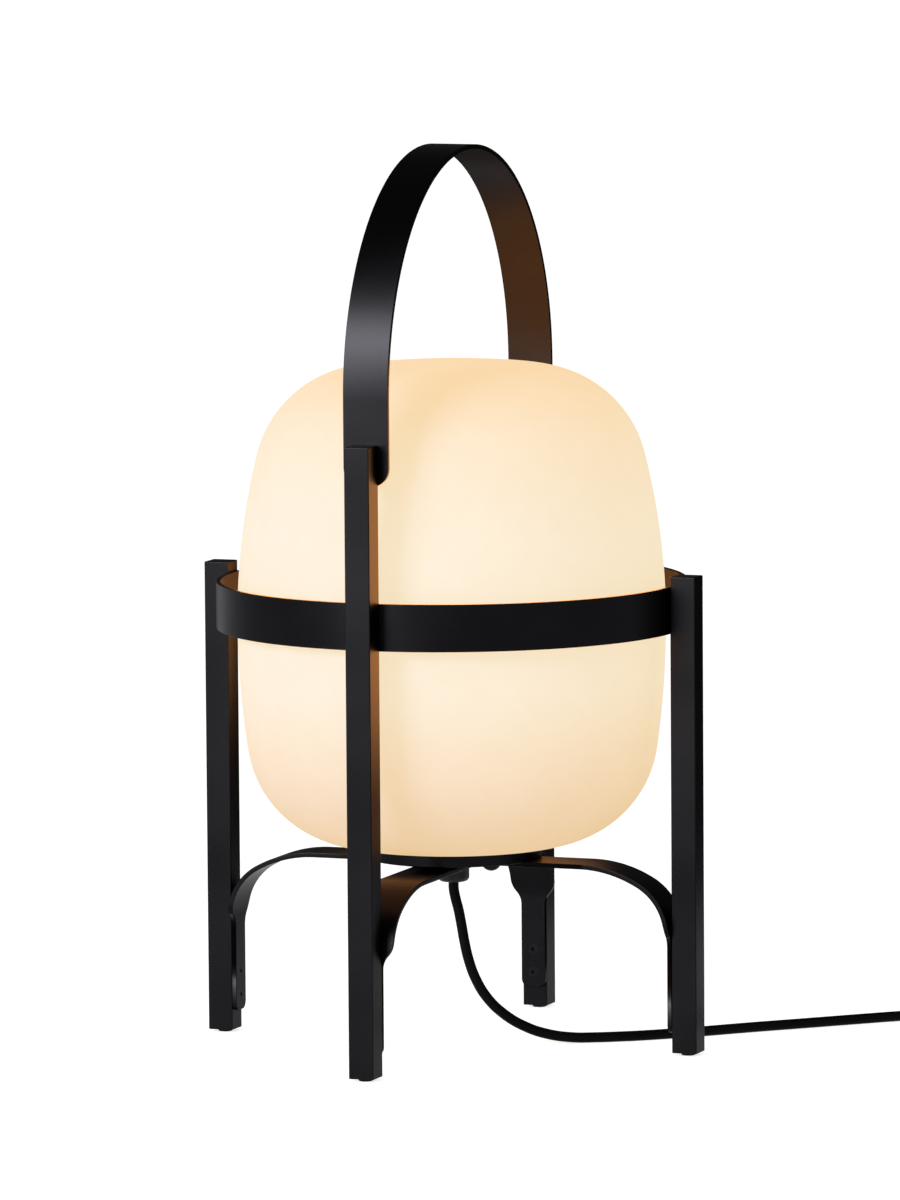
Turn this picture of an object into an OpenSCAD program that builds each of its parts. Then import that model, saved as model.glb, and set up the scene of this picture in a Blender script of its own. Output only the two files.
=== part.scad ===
// Lantern table lamp: an opal glass globe stands in a cage of four square posts,
// with a strap handle over it, a belt ring round it and two crossing arches under it.
// Origin: on the floor, under the middle of the globe. +X to the right post, -Y to the front post.

/* [Posts] */
// Distance between the centres of two opposite posts
post_pitch = 308; // [300:1:320]
// Side of the square post
post_side = 16; // [14:0.5:18]
// Bevel along the post's edges
post_bevel = 0.6; // [0.3:0.1:1]
// Height of the tall posts' tops above the floor
tall_post_top = 387; // [376:1:396]
// Height of the short posts' tops above the floor
short_post_top = 297.2; // [292:0.1:320]
// How far a glide foot shows under the post
foot_show = 1.7; // [1.2:0.1:4]
// Diameter of the glide foot
foot_d = 8.6; // [7:0.2:12]
// Diameter of the glide foot's stem
foot_stem_d = 5; // [4:0.5:6]
// Length of the glide foot's stem
foot_stem_len = 8; // [6:0.5:8.5]

/* [Straps] */
// Width of the flat bar that handle, belt and arches are bent from
strap_w = 29; // [24:0.5:32]
// Thickness of the flat bar
strap_t = 3; // [2.5:0.1:3.5]

/* [Handle] */
// Height of the handle's top above the floor
handle_top = 560; // [550:1:580]
// How far the handle's legs reach down beside the tall posts
handle_lap = 25.4; // [25:0.1:30]
// Corner radius of the handle's ends
handle_end_r = 11; // [4:0.5:11.5]

/* [Belt ring] */
// Height of the ring's lower edge above the floor
belt_bottom = 261.7; // [255:0.1:264]

/* [Crossing arches] */
// Height of the upper arch's top face
arch_top = 117.5; // [115:0.1:119]
// Outer radius of the wide bend that leaves the flat top
arch_wide_r = 80; // [70:1:90]
// Outer radius of the tight bend that runs into the leg
arch_tight_r = 37; // [30:1:40]
// Angle that the wide bend turns through
arch_split = 29.5; // [24:0.5:45]
// Height at which the strap begins to narrow
shoulder_top = 83; // [78:1:84]
// Height at which the strap has the post's width
shoulder_bottom = 67; // [60:1:68]
// Height of the arch ends above the floor
arch_end = 14; // [12:0.5:16]
// Corner radius of the arch ends
arch_end_r = 5; // [2:0.5:6]

/* [Screws] */
// Diameter of the frame screws' shanks
screw_d = 4; // [3:0.5:4.5]
// Diameter of the countersunk heads
screw_head_d = 7; // [6.5:0.1:8]
// Length of the frame screws
screw_len = 12; // [9:0.5:12.5]
// Key size of the screws' hexagonal sockets
screw_key = 2.5; // [2:0.1:3]
// Distance between the two screws of a pair
screw_pitch = 14.8; // [12:0.1:15]
// Distance from an arch's end to its lower screw
arch_screw_edge = 9.7; // [9:0.1:12]
// Distance between the two screws of a handle leg
handle_screw_pitch = 11; // [9:0.5:12]
// Distance from the handle's end to its lower screw
handle_screw_edge = 7.5; // [7:0.5:9]

/* [Dish] */
// Outer diameter of the dish that the globe stands in
dish_d = 110; // [108:1:116]
// Height of the dish from the arches to its rim
dish_h = 7; // [6.5:0.1:7.2]
// Thickness of the dish's floor
dish_floor = 3; // [2.5:0.1:3.2]
// Thickness of the dish's rim
dish_rim = 2.4; // [1.5:0.1:3]
// Distance of the two dish screws from the middle
dish_screw_r = 25; // [23.5:0.5:26]
// Diameter of the dish screws' shanks
dish_screw_d = 5; // [4:0.5:6]
// Diameter of the dish screws' domed heads
dish_head_d = 13; // [11:0.5:14]
// Height of the domed heads
dish_head_h = 5.4; // [4:0.1:6]

/* [Globe] */
// Largest radius of the globe
globe_r = 132.8; // [128:0.1:136]
// Height of the widest place above the floor
globe_widest = 265.2; // [262:0.1:268]
// Rise of the globe's top above the widest place
globe_rise = 160.7; // [156:0.1:165]
// Drop of the globe's bottom curve below the widest place
globe_drop = 143.3; // [142.5:0.1:143.8]
// Radius of the side above the widest place
side_r_up = 425; // [400:5:450]
// Radius of the upper shoulder
shoulder_r_up = 72; // [64:1:80]
// Radius of the crown
crown_r_up = 554; // [450:2:700]
// Radius of the side below the widest place
side_r_low = 548; // [500:2:600]
// Radius of the lower shoulder
shoulder_r_low = 69.5; // [64:0.5:76]
// Radius of the bottom curve
crown_r_low = 525; // [480:5:600]
// Thickness of the glass
glass_t = 4; // [3:0.1:5]
// Outer radius of the globe's neck
neck_r = 50; // [49:0.1:51]
// Thickness of the gasket under the neck
gasket_t = 1.5; // [1:0.1:1.6]
// Clearance between the gasket and the neck
neck_clear = 0.2; // [0.1:0.05:0.4]

/* [Lamp holder] */
// Outer diameter of the threaded tube
tube_d = 10; // [8:0.5:11]
// Bore of the threaded tube
tube_bore = 7.4; // [6:0.1:7.8]
// Thickness of the lock nut
nut_t = 3; // [2.5:0.1:4]
// Outer diameter of the holder
holder_d = 35; // [33.5:0.5:40]
// Height of the holder's cap
holder_cap_h = 16; // [14:0.5:20]
// Height of the insulating core
core_h = 12; // [9:0.5:13]
// Height of the threaded shell above the core
socket_h = 20; // [17:0.5:22]
// Inner diameter of the threaded shell
socket_d = 26.6; // [26.5:0.05:27]
// Thickness of the threaded shell
socket_t = 0.6; // [0.4:0.1:0.8]

/* [Bulb] */
// Diameter of the bulb's screw cap
cap_d = 26.4; // [26:0.05:26.45]
// Height of the bulb's screw cap
cap_h = 21; // [18:0.5:24]
// Diameter of the bulb's glass
bulb_d = 60; // [50:1:62]
// Height of the bulb's glass above its cap
bulb_h = 82; // [74:1:90]
// Thickness of the bulb's glass
bulb_t = 1; // [0.8:0.1:1.4]
// Diameter of the bulb's neck
bulb_neck_d = 24.6; // [22:0.2:24.8]

/* [Gland and cord] */
// Diameter of the gland
gland_d = 19.6; // [18:0.2:22]
// Height of the gland
gland_h = 9.9; // [9:0.1:11]
// Radius round the gland's lower edge
gland_edge_r = 3; // [1:0.5:4]
// Diameter of the cord
cord_d = 6.4; // [5.8:0.1:6.4]
// Diameter of one insulated core
core_wire_d = 2.4; // [1.8:0.1:2.6]
// Largest radius of the coil, to the middle of the cord
coil_r = 45; // [45:0.5:50]
// Step of the spiral in one turn
coil_step = 6.9; // [6.9:0.05:7]
// Turns in one layer of the coil
coil_turns = 2.75; // [1.75:1:2.75]
// Height of the upper layer above the lower one
coil_layer = 6.9; // [6.9:0.1:7.4]
// Thickness of the tie round the coil
tie_t = 0.8; // [0.5:0.1:1.2]
// Width of the tie
tie_w = 10; // [6:0.5:10]

/* [Cord switch] */
// Length of the switch
switch_len = 62; // [58:1:64]
// Width of the switch
switch_w = 26; // [25:0.5:30]
// Height of the switch
switch_h = 16; // [15.5:0.1:18]
// Wall of the switch's shells
switch_wall = 2; // [1.6:0.1:2.2]
// Corner radius of the switch
switch_r = 9; // [6:0.5:9.5]
// Length of the rocker
rocker_len = 20; // [18:0.5:22]
// Width of the rocker
rocker_w = 11; // [9:0.5:12]
// Gap round the rocker
rocker_gap = 0.4; // [0.3:0.05:0.6]
// Travel of the rocker, in degrees
rocker_travel = 14; // [8:1:14]
// Diameter of the rocker's pivot
pivot_d = 3; // [2.4:0.1:3.2]

/* [Plug] */
// Width of the plug's body
plug_w = 35.5; // [34:0.5:38]
// Thickness of the plug's body
plug_t = 14; // [13.5:0.1:16]
// Length of the plug's body
plug_len = 34; // [30:1:40]
// Diameter of a plug pin
pin_d = 4; // [3.8:0.05:4.2]
// Length of a plug pin
pin_len = 19; // [17:0.5:20]
// Distance between the two pins
pin_pitch = 18.6; // [17:0.1:20]
// Diameter of a pin's root, in its sleeve and in the plug
pin_root_d = 3; // [2.4:0.1:3.2]
// Length of the insulating sleeve on a pin's root
pin_sleeve_len = 10; // [8:0.5:11]
// Diameter of the insulating sleeve
pin_sleeve_d = 3.6; // [3.5:0.05:3.8]
// Length of the plug's tapered strain relief
relief_len = 24; // [20:1:40]

/* [Hidden] */
$fn = 64;

// Colours
black_metal = [0.06, 0.06, 0.065];
black_screw = [0.1, 0.1, 0.11];
black_plastic = [0.05, 0.05, 0.05];
cord_black = [0.04, 0.04, 0.04];
rubber = [0.08, 0.08, 0.08];
opal = [1.0, 0.93, 0.83];
clear_glass = [0.9, 0.93, 0.95];
filament_yellow = [0.95, 0.8, 0.35];
brass = [0.78, 0.62, 0.3];
steel = [0.7, 0.7, 0.72];
ceramic = [0.92, 0.9, 0.86];

// Small clearances and steps
fit = 0.05;         // round a shank in its hole, each side
belt_gap = 0.1;     // between the belt ring and the posts
spring_gap = 0.3;   // between a neck spring and the neck
hole_spare = 0.5;   // how far a blind hole goes past what it holds
e = 0.5;            // how far a cut runs past the face that it opens

// Frame: distances from the middle, and the four directions
post_r = post_pitch / 2;
inner_face = post_r - post_side / 2;
strap_face = inner_face - strap_t;
right = 0;
back = 90;
left = 180;
front = 270;

// Handle: its ends, the middle of its bend, its screws
handle_end = tall_post_top - handle_lap;
handle_centre = handle_top - inner_face;
handle_screws_z = [handle_end + handle_screw_edge, handle_end + handle_screw_edge + handle_screw_pitch];

// Belt ring
belt_r = inner_face - belt_gap;
belt_screw_z = belt_bottom + strap_w / 2;

// Arches: the lower one passes under the upper one
lower_arch_top = arch_top - strap_t;
arch_bottom = lower_arch_top - strap_t;
arch_flat = inner_face - arch_tight_r - (arch_wide_r - arch_tight_r) * sin(arch_split);
arch_screws_z = [arch_end + arch_screw_edge, arch_end + arch_screw_edge + screw_pitch];

// Screws
head_h = (screw_head_d - screw_d) / 2;
hole_d = screw_d + 2 * fit;
socket_depth = 1.6;
post_hole = screw_len - strap_t + hole_spare;

// Dish and neck
dish_r = dish_d / 2;
floor_z = arch_top + dish_floor;
neck_z = floor_z + gasket_t + neck_clear;
neck_in = neck_r - glass_t;
gasket_in = neck_in - 0.5;
gasket_out = neck_r + 1.8;
dish_nut_t = 3;
dish_nut_af = dish_screw_d + 3;

// Springs in the neck
spring_t = 0.6;
spring_w = 8;
spring_start = 31;
spring_foot = neck_in - 3;
spring_out = neck_in - spring_gap;
spring_tip = neck_in - 2;
spring_out_h = 4.6;
spring_h = 9;
spring_turns = [90, 210, 330];
rivet_r = 36;
rivet_d = 3;
rivet_head_d = 6;
rivet_head_h = 1.4;

// Gland and threaded tube
gland_z = arch_bottom - gland_h;
tube_hole_d = tube_d + 2 * fit;
tube_seat = 6;
tube_z = arch_bottom - tube_seat;
nut_z = floor_z + nut_t;
nut_af = tube_d + 5;
tube_top = nut_z + 5;

// Core wires
wire_x = core_wire_d / 2 + 0.1;
wire_bore_r = wire_x + core_wire_d / 2 + 0.1;
wire_bend_z = tube_top + 0.5;

// Holder, from the lock nut up
holder_wall = 2;
holder_r = holder_d / 2;
holder_in = holder_r - holder_wall;
core_z = nut_z + holder_cap_h - 4;
core_top = core_z + core_h;
core_r = holder_in - fit;
sleeve_z = nut_z + holder_cap_h;
socket_top = core_top + socket_h;
socket_out = socket_d / 2 + socket_t;
socket_gap = 0.3;
contact_d = 10;
contact_top = core_top + 2;
terminal_x = 9;
terminal_d = 3;
terminal_head_d = 5.5;
terminal_head_h = 2;
terminal_depth = 8;
wire_end_x = terminal_x - terminal_head_d / 2 - core_wire_d / 2 - 0.15;
wire_end_z = core_z - 0.2;

// Bulb, from its contact up
bulb_z = contact_top + fit;
tip_h = 1.6;
tip_d = 10;
insulator_z = bulb_z + tip_h;
insulator_cone = 3.4;
insulator_rim = 1.4;
cap_z = insulator_z + insulator_cone;
cap_t = 0.6;
cap_in = cap_d / 2 - cap_t;
cap_top = cap_z + cap_h;
bulb_r = bulb_d / 2;
bulb_centre = cap_top + bulb_h - bulb_r;
bulb_start = cap_top - 12;
bulb_neck_r = bulb_neck_d / 2;
bulb_neck_top = cap_top + 8;
bulb_drop = bulb_centre - bulb_neck_top;
bulb_taper = asin(bulb_r / norm([bulb_drop, bulb_neck_r])) - atan2(bulb_neck_r, bulb_drop);
stem_d = 8;
stem_base = 2;
stem_top = bulb_centre + 12;
filament_d = 1.6;
filament_r = 7.5;
filament_wire_d = 0.8;
filament_low = bulb_centre - 18;
filament_high = bulb_centre + 8;

// Switch: its end near the lamp, the way that the cord runs through it, what is in it
switch_at = [309, 128];
switch_turn = -90;
switch_split = switch_h / 2;
switch_lid = switch_h - switch_wall;
switch_end = [switch_at[0], switch_at[1] - switch_len];
boss_d = 6;
boss_at = [switch_len / 2 - 9, switch_w / 2 - 5.5];
boss_sides = [[-1, 1], [1, -1]];
case_screw_d = 2.5;
case_screw_head = 4.7;
case_screw_len = switch_lid - 1.5;
pivot_z = switch_h - 4.5;
ear_t = 2.5;
ear_len = 6;
ear_in = rocker_w / 2 + rocker_gap;
ear_top = switch_lid - 0.2;
rocker_x = rocker_len / 2 - 0.6;
strip_t = 0.8;
strip_w = 5;
strip_start = 5;
strip_end = switch_len / 2 - 4;
strip_rise = 5;

// Coil: its middle, its two layers, its sides in the mesh
cord_r = cord_d / 2;
coil_at = [switch_at[0] + coil_r, 22];
tie_clear = 0.3;
coil_low = tie_t + tie_clear + cord_r;
coil_high = coil_low + coil_layer;
coil_rings = 24;
coil_sides = 6;
cord_sides = 10;
coil_start = [coil_at[0] - coil_r, coil_at[1] + cord_d, coil_low];
coil_finish = [coil_at[0] + coil_r, coil_at[1] + cord_d, coil_high];
tie_turn = 270;
tie_low = 0;
tie_side_clear = 0.5;
tie_inner_clear = 1.1;
tie_corner = 2;

// Plug: the small end of its strain relief, and the way that it points
plug_at = [388, 110];
plug_turn = 100;
plug_dir = [cos(plug_turn), sin(plug_turn)];
plug_axis = plug_t / 2;
plug_neck = 8;
plug_slope = 12;
plug_round = 6;
pin_seat = 8;
relief_r = [cord_r + 0.9, cord_r + 2.6];

// The cord's route from the gland to the switch, along the middle of the cord
lie = cord_r;
lead_route = [
    [0, 0, gland_z], [0, 0, gland_z - 4.5], [1.2, 0.2, 90.5], [2.9, 0.4, 84], [4.6, 0.7, 75],
    [6.4, 0.9, 64.5], [9.2, 1.4, 52], [13.6, 2.2, 40], [20.5, 3.7, 28.5], [30.5, 6.1, 18.6],
    [43, 9.8, 10.8], [56, 14.6, 6], [70, 20.8, lie + 0.4], [84, 28, lie], [97, 35.6, lie],
    [110, 44.8, lie], [124, 57, lie], [139, 71.2, lie], [155, 87.8, lie], [171, 103.8, lie],
    [187, 119.2, lie], [203, 134.8, lie], [219, 150.4, lie], [235, 165.6, lie], [250, 178, lie],
    [262, 184.5, lie], [275.5, 186.3, lie], [289, 182.8, lie], [300, 174.5, lie], [306.6, 163.3, lie + 0.2],
    [309, 151, 4.5], [309, 142.5, 6.8], [309, 135, switch_split],
    [switch_at[0], switch_at[1], switch_split]];
link_route = [
    [switch_end[0], switch_end[1], switch_split], [309, 59.5, 7.9], [309, 50, 6.3], [309, 41, 4.9],
    [309, coil_start[1] + cord_d, coil_low], coil_start];
tail_route = [
    coil_finish, [399, 34.5, 10.9], [398.6, 41, 9.5], [397.8, 50, 6.8], [396.6, 59, 4.4],
    [395.3, 68, 3.3], [393.8, 77, 3.5], [392.2, 86, 4.7], [390.6, 95, 6.3],
    [plug_at[0] - 7 * plug_dir[0], plug_at[1] - 7 * plug_dir[1], plug_axis],
    [plug_at[0], plug_at[1], plug_axis]];

// Points along an arc, from one angle to another
function arc(centre, r, from, to, steps, first = 0) =
    [for (i = [first:steps]) let (a = from + (to - from) * i / steps) centre + r * [cos(a), sin(a)]];
function reversed(points) = [for (i = [len(points) - 1:-1:0]) points[i]];
function mirrored(points) = [for (p = reversed(points)) [-p[0], p[1]]];

// The middle of the circle that touches two circles from the inside
function between(c1, r1, c3, r3) =
    let (d = norm(c3 - c1), u = (c3 - c1) / d, a = (d * d + r1 * r1 - r3 * r3) / (2 * d))
    c1 + a * u + sqrt(r1 * r1 - a * a) * [-u[1], u[0]];

// Half of a globe's outline as [radius, height over the widest place]: side, shoulder and crown
// follow each other without a corner, down to the radius where the outline ends
function globe_half(rise, side, shoulder, crown, inset, end_r) =
    let (c1 = [globe_r - side, 0], c3 = [0, rise - crown],
        c2 = between(c1, side - shoulder, c3, crown - shoulder),
        low = atan2(c2[1] - c1[1], c2[0] - c1[0]), high = atan2(c2[1] - c3[1], c2[0] - c3[0]))
    concat(arc(c1, side - inset, 0, low, 5), arc(c2, shoulder - inset, low, high, 12, 1),
        arc(c3, crown - inset, high, acos(end_r / (crown - inset)), 5, 1));
function globe_above(inset) =
    [for (p = globe_half(globe_rise, side_r_up, shoulder_r_up, crown_r_up, inset, 0))
        [max(p[0], 0), globe_widest + p[1]]];
function globe_below(inset, end_r) =
    [for (p = globe_half(globe_drop, side_r_low, shoulder_r_low, crown_r_low, inset, end_r))
        [p[0], globe_widest - p[1]]];

// The bulb's outline from its lower edge to its top
function bulb_outline(inset) = concat(
    [[bulb_neck_r - inset, bulb_start], [bulb_neck_r - inset, bulb_centre
        - (bulb_r - inset - (bulb_neck_r - inset) * cos(bulb_taper)) / sin(bulb_taper)]],
    arc([0, bulb_centre], bulb_r - inset, -bulb_taper, 90, 14));

// A cord as rings along its route, with the ring's frame carried from each ring to the next
function unit(v) = v / norm(v);
function squared(v, way) = unit(v - (v * way) * way);
function ways(route) = [for (i = [0:len(route) - 1])
    unit(route[min(i + 1, len(route) - 1)] - route[max(i - 1, 0)])];
function carried(along, first) = [for (i = 0, v = squared(first, along[0]); i < len(along);
    i = i + 1, v = i < len(along) ? squared(v, along[i]) : v) v];

// The coil: in along the lower layer, up in the half turn where it reverses, out along the upper one
function coil_radius(turns) = coil_r - coil_step * min(turns, 2 * coil_turns - turns);
function coil_height(turns) =
    coil_low + coil_layer * (1 - cos(180 * min(1, max(0, 2 * (turns - coil_turns) + 0.5)))) / 2;
coil_steps = 2 * coil_turns * coil_rings;
coil_route = concat([coil_start],
    [for (i = [0:coil_steps]) let (turns = i / coil_rings, a = left + 360 * turns, r = coil_radius(turns))
        [coil_at[0] + r * cos(a), coil_at[1] + r * sin(a), coil_height(turns)]],
    [coil_finish]);
function least_gap(route, apart) = min([for (i = [0:len(route) - 1]) for (j = [i + apart:1:len(route) - 1])
    norm(route[i] - route[j])]) - cord_d;
function run_length(route) = [for (i = 0, s = 0; i < len(route); i = i + 1,
    s = i < len(route) ? s + norm(route[i] - route[i - 1]) : s) s][len(route) - 1];
echo(coil_least_gap = least_gap(coil_route, coil_rings * 3 / 4));
echo(cord_lengths = [for (route = [lead_route, link_route, coil_route, tail_route]) run_length(route)]);

// A place beside a post: the post's axis is at the origin and +X points away from the middle
module at_post(angle) {
    rotate([0, 0, angle]) translate([post_r, 0, 0]) children();
}

// A place on the dish or the holder, at a radius and an angle
module around(r, angle) {
    rotate([0, 0, angle]) translate([r, 0, 0]) children();
}

// A square with its corners cut off
module bevelled(size, bevel) {
    x = size[0] / 2;
    y = size[1] / 2;
    polygon([[x - bevel, -y], [x, bevel - y], [x, y - bevel], [x - bevel, y],
        [bevel - x, y], [-x, y - bevel], [-x, bevel - y], [bevel - x, -y]]);
}

// A bar that stands on the floor with all its edges bevelled
module bar(side, height, bevel) {
    intersection() {
        linear_extrude(height) bevelled([side, side], bevel);
        rotate([90, 0, 0]) linear_extrude(side, center = true)
            translate([0, height / 2]) bevelled([side, height], bevel);
        rotate([90, 0, 90]) linear_extrude(side, center = true)
            translate([0, height / 2]) bevelled([side, height], bevel);
    }
}

// A flat outline with round corners, its middle at the origin
module rounded(size, r) {
    square([size[0] - 2 * r, size[1]], center = true);
    square([size[0], size[1] - 2 * r], center = true);
    for (x = [-1, 1]) for (y = [-1, 1])
        translate([x * (size[0] / 2 - r), y * (size[1] / 2 - r)]) circle(r);
}

// A countersunk screw along +X, its head's face at the origin
module frame_screw() {
    rotate([0, 90, 0]) difference() {
        union() {
            cylinder(d1 = screw_head_d, d2 = screw_d, h = head_h);
            cylinder(d = screw_d, h = screw_len);
        }
        translate([0, 0, -e]) cylinder(d = screw_key / cos(30), h = socket_depth + e, $fn = 6);
    }
}

// The hole for it through a strap
module strap_hole() {
    rotate([0, 90, 0]) {
        translate([0, 0, -e]) cylinder(d = screw_head_d + 2 * fit, h = e);
        cylinder(d1 = screw_head_d + 2 * fit, d2 = hole_d, h = head_h);
        cylinder(d = hole_d, h = strap_t + 2 * e);
    }
}

// Where a screw's head lies: beside a post, at a height, with a gap between strap and post
module at_screw(angle, z, gap = 0) {
    at_post(angle) translate([-post_side / 2 - gap - strap_t, 0, z]) children();
}

module post(angle, top, heights) {
    color(black_metal) at_post(angle) difference() {
        translate([0, 0, foot_show]) bar(post_side, top - foot_show, post_bevel);
        for (z = heights) translate([-post_side / 2 - e, 0, z]) rotate([0, 90, 0])
            cylinder(d = hole_d, h = post_hole + e);
        translate([0, 0, foot_show - e])
            cylinder(d = foot_stem_d + 2 * fit, h = foot_stem_len + hole_spare + e);
    }
}

module tall_post(angle) {
    post(angle, tall_post_top, concat(handle_screws_z, [belt_screw_z], arch_screws_z));
}

module short_post(angle) {
    post(angle, short_post_top, concat([belt_screw_z], arch_screws_z));
}

module post_front() { tall_post(front); }
module post_back() { tall_post(back); }
module post_left() { short_post(left); }
module post_right() { short_post(right); }

module glide_feet() {
    color(rubber) for (angle = [right, back, left, front]) at_post(angle) {
        rotate_extrude() polygon([[0, 0], [foot_d / 2 - 0.4, 0], [foot_d / 2, 0.4],
            [foot_d / 2, foot_show], [0, foot_show]]);
        cylinder(d = foot_stem_d, h = foot_show + foot_stem_len);
    }
}

// The handle seen on edge, then cut to its round ends
module handle_edge() {
    difference() {
        union() {
            intersection() {
                translate([0, handle_centre]) circle(inner_face);
                translate([-inner_face, handle_centre]) square([2 * inner_face, inner_face]);
            }
            translate([-inner_face, handle_end]) square([2 * inner_face, handle_centre - handle_end]);
        }
        translate([0, handle_centre]) circle(strap_face);
        translate([-strap_face, handle_end - e]) square([2 * strap_face, handle_centre - handle_end + e]);
    }
}

module handle_face() {
    height = handle_top - handle_end;
    translate([-strap_w / 2, handle_end + handle_end_r]) square([strap_w, height]);
    translate([handle_end_r - strap_w / 2, handle_end]) square([strap_w - 2 * handle_end_r, height]);
    for (side = [-1, 1]) translate([side * (strap_w / 2 - handle_end_r), handle_end + handle_end_r])
        circle(handle_end_r);
}

module handle_strap() {
    color(black_metal) difference() {
        intersection() {
            rotate([90, 0, 90]) linear_extrude(strap_w, center = true) handle_edge();
            rotate([90, 0, 0]) linear_extrude(2 * inner_face + 2 * e, center = true) handle_face();
        }
        for (angle = [front, back]) for (z = handle_screws_z) at_screw(angle, z) strap_hole();
    }
}

module handle_screws() {
    color(black_screw) for (angle = [front, back]) for (z = handle_screws_z) at_screw(angle, z) frame_screw();
}

module belt_ring() {
    color(black_metal) difference() {
        translate([0, 0, belt_bottom]) cylinder(r = belt_r, h = strap_w);
        translate([0, 0, belt_bottom - e]) cylinder(r = belt_r - strap_t, h = strap_w + 2 * e);
        for (angle = [right, back, left, front]) at_screw(angle, belt_screw_z, belt_gap) strap_hole();
    }
}

module belt_screws() {
    color(black_screw) for (angle = [right, back, left, front])
        at_screw(angle, belt_screw_z, belt_gap) frame_screw();
}

// One side of an arch's face seen on edge, from the flat top to the leg's end: wide bend, tight bend
function arch_curve(top, inset) =
    let (wide = [arch_flat, top - arch_wide_r],
        tight = wide + (arch_wide_r - arch_tight_r) * [sin(arch_split), cos(arch_split)])
    concat(arc(wide, arch_wide_r - inset, 90, 90 - arch_split, 10),
        arc(tight, arch_tight_r - inset, 90 - arch_split, 0, 12, 1), [[inner_face - inset, arch_end]]);

// The arch seen from its end: the strap narrows to the post's width in two equal arcs
module arch_face(top) {
    wide = strap_w / 2;
    narrow = post_side / 2;
    rise = shoulder_top - shoulder_bottom;
    turn = 2 * atan2(wide - narrow, rise);
    r = rise / (2 * sin(turn));
    side = concat(arc([narrow - arch_end_r, arch_end + arch_end_r], arch_end_r, -90, 0, 6),
        arc([narrow + r, shoulder_bottom], r, 180, 180 - turn, 8),
        arc([wide - r, shoulder_top], r, -turn, 0, 8, 1), [[wide, top + e]]);
    polygon(concat(side, mirrored(side)));
}

module arch(top) {
    outer = reversed(arch_curve(top, 0));
    inner = reversed(arch_curve(top, strap_t));
    difference() {
        intersection() {
            rotate([90, 0, 0]) linear_extrude(strap_w, center = true) polygon(concat(outer, mirrored(outer),
                reversed(mirrored(inner)), reversed(inner)));
            rotate([90, 0, 90]) linear_extrude(2 * inner_face + 2 * e, center = true) arch_face(top);
        }
        translate([0, 0, top - strap_t - e]) cylinder(d = tube_hole_d, h = strap_t + 2 * e);
        for (angle = [left, right]) for (z = arch_screws_z) at_screw(angle, z) strap_hole();
    }
}

module arch_upper() {
    color(black_metal) difference() {
        arch(arch_top);
        dish_holes(lower_arch_top);
    }
}

module arch_lower() {
    color(black_metal) rotate([0, 0, 90]) arch(lower_arch_top);
}

module arch_screws() {
    color(black_screw) for (angle = [right, back, left, front]) for (z = arch_screws_z)
        at_screw(angle, z) frame_screw();
}

// The dish, and the two screws that hold it from below
module dish_holes(from) {
    for (angle = [left, right]) around(dish_screw_r, angle) translate([0, 0, from - e])
        cylinder(d = dish_screw_d + 2 * fit, h = floor_z - from + 2 * e);
}

module globe_dish() {
    color(black_metal) difference() {
        translate([0, 0, arch_top]) cylinder(r = dish_r, h = dish_h);
        translate([0, 0, floor_z]) cylinder(r = dish_r - dish_rim, h = dish_h);
        translate([0, 0, arch_top - e]) cylinder(d = tube_hole_d, h = dish_floor + 2 * e);
        dish_holes(arch_top);
        for (angle = spring_turns) around(rivet_r, angle) translate([0, 0, floor_z - dish_floor / 2])
            cylinder(d = rivet_d + 2 * fit, h = dish_floor);
    }
}

module dish_screws() {
    dome = (pow(dish_head_d / 2, 2) + pow(dish_head_h, 2)) / (2 * dish_head_h);
    color(black_screw) for (angle = [left, right]) around(dish_screw_r, angle)
        translate([0, 0, lower_arch_top]) {
            rotate_extrude() polygon(concat([[0, 0]],
                arc([0, dome - dish_head_h], dome, -asin(min(1, (dome - dish_head_h) / dome)), -90, 10)));
            translate([0, 0, -1]) cylinder(d = dish_screw_d, h = floor_z + dish_nut_t + 2 - lower_arch_top);
        }
}

module dish_nuts() {
    color(steel) for (angle = [left, right]) around(dish_screw_r, angle) translate([0, 0, floor_z])
        difference() {
            cylinder(d = dish_nut_af / cos(30), h = dish_nut_t, $fn = 6);
            translate([0, 0, -e]) cylinder(d = dish_screw_d + 2 * fit, h = dish_nut_t + 2 * e);
        }
}

module neck_gasket() {
    color(rubber) translate([0, 0, floor_z]) difference() {
        cylinder(r = gasket_out, h = gasket_t);
        translate([0, 0, -e]) cylinder(r = gasket_in, h = gasket_t + 2 * e);
    }
}

// Leaf springs that the neck slides over
module neck_springs() {
    edge = [[spring_start, 0], [spring_foot, 0], [spring_out, spring_out_h], [spring_tip, spring_h],
        [spring_tip - spring_t, spring_h], [spring_out - spring_t, spring_out_h],
        [spring_foot - spring_t / 2, spring_t], [spring_start, spring_t]];
    color(steel) for (angle = spring_turns) rotate([0, 0, angle]) translate([0, 0, floor_z]) difference() {
        rotate([90, 0, 0]) linear_extrude(spring_w, center = true) polygon(edge);
        translate([rivet_r, 0, -e]) cylinder(d = rivet_d + 2 * fit, h = spring_t + 2 * e);
    }
}

module spring_rivets() {
    color(steel) for (angle = spring_turns) around(rivet_r, angle) {
        translate([0, 0, floor_z - dish_floor / 2 + fit])
            cylinder(d = rivet_d, h = dish_floor / 2 + spring_t);
        translate([0, 0, floor_z + spring_t])
            cylinder(d1 = rivet_head_d, d2 = rivet_head_d / 2, h = rivet_head_h);
    }
}

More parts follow.
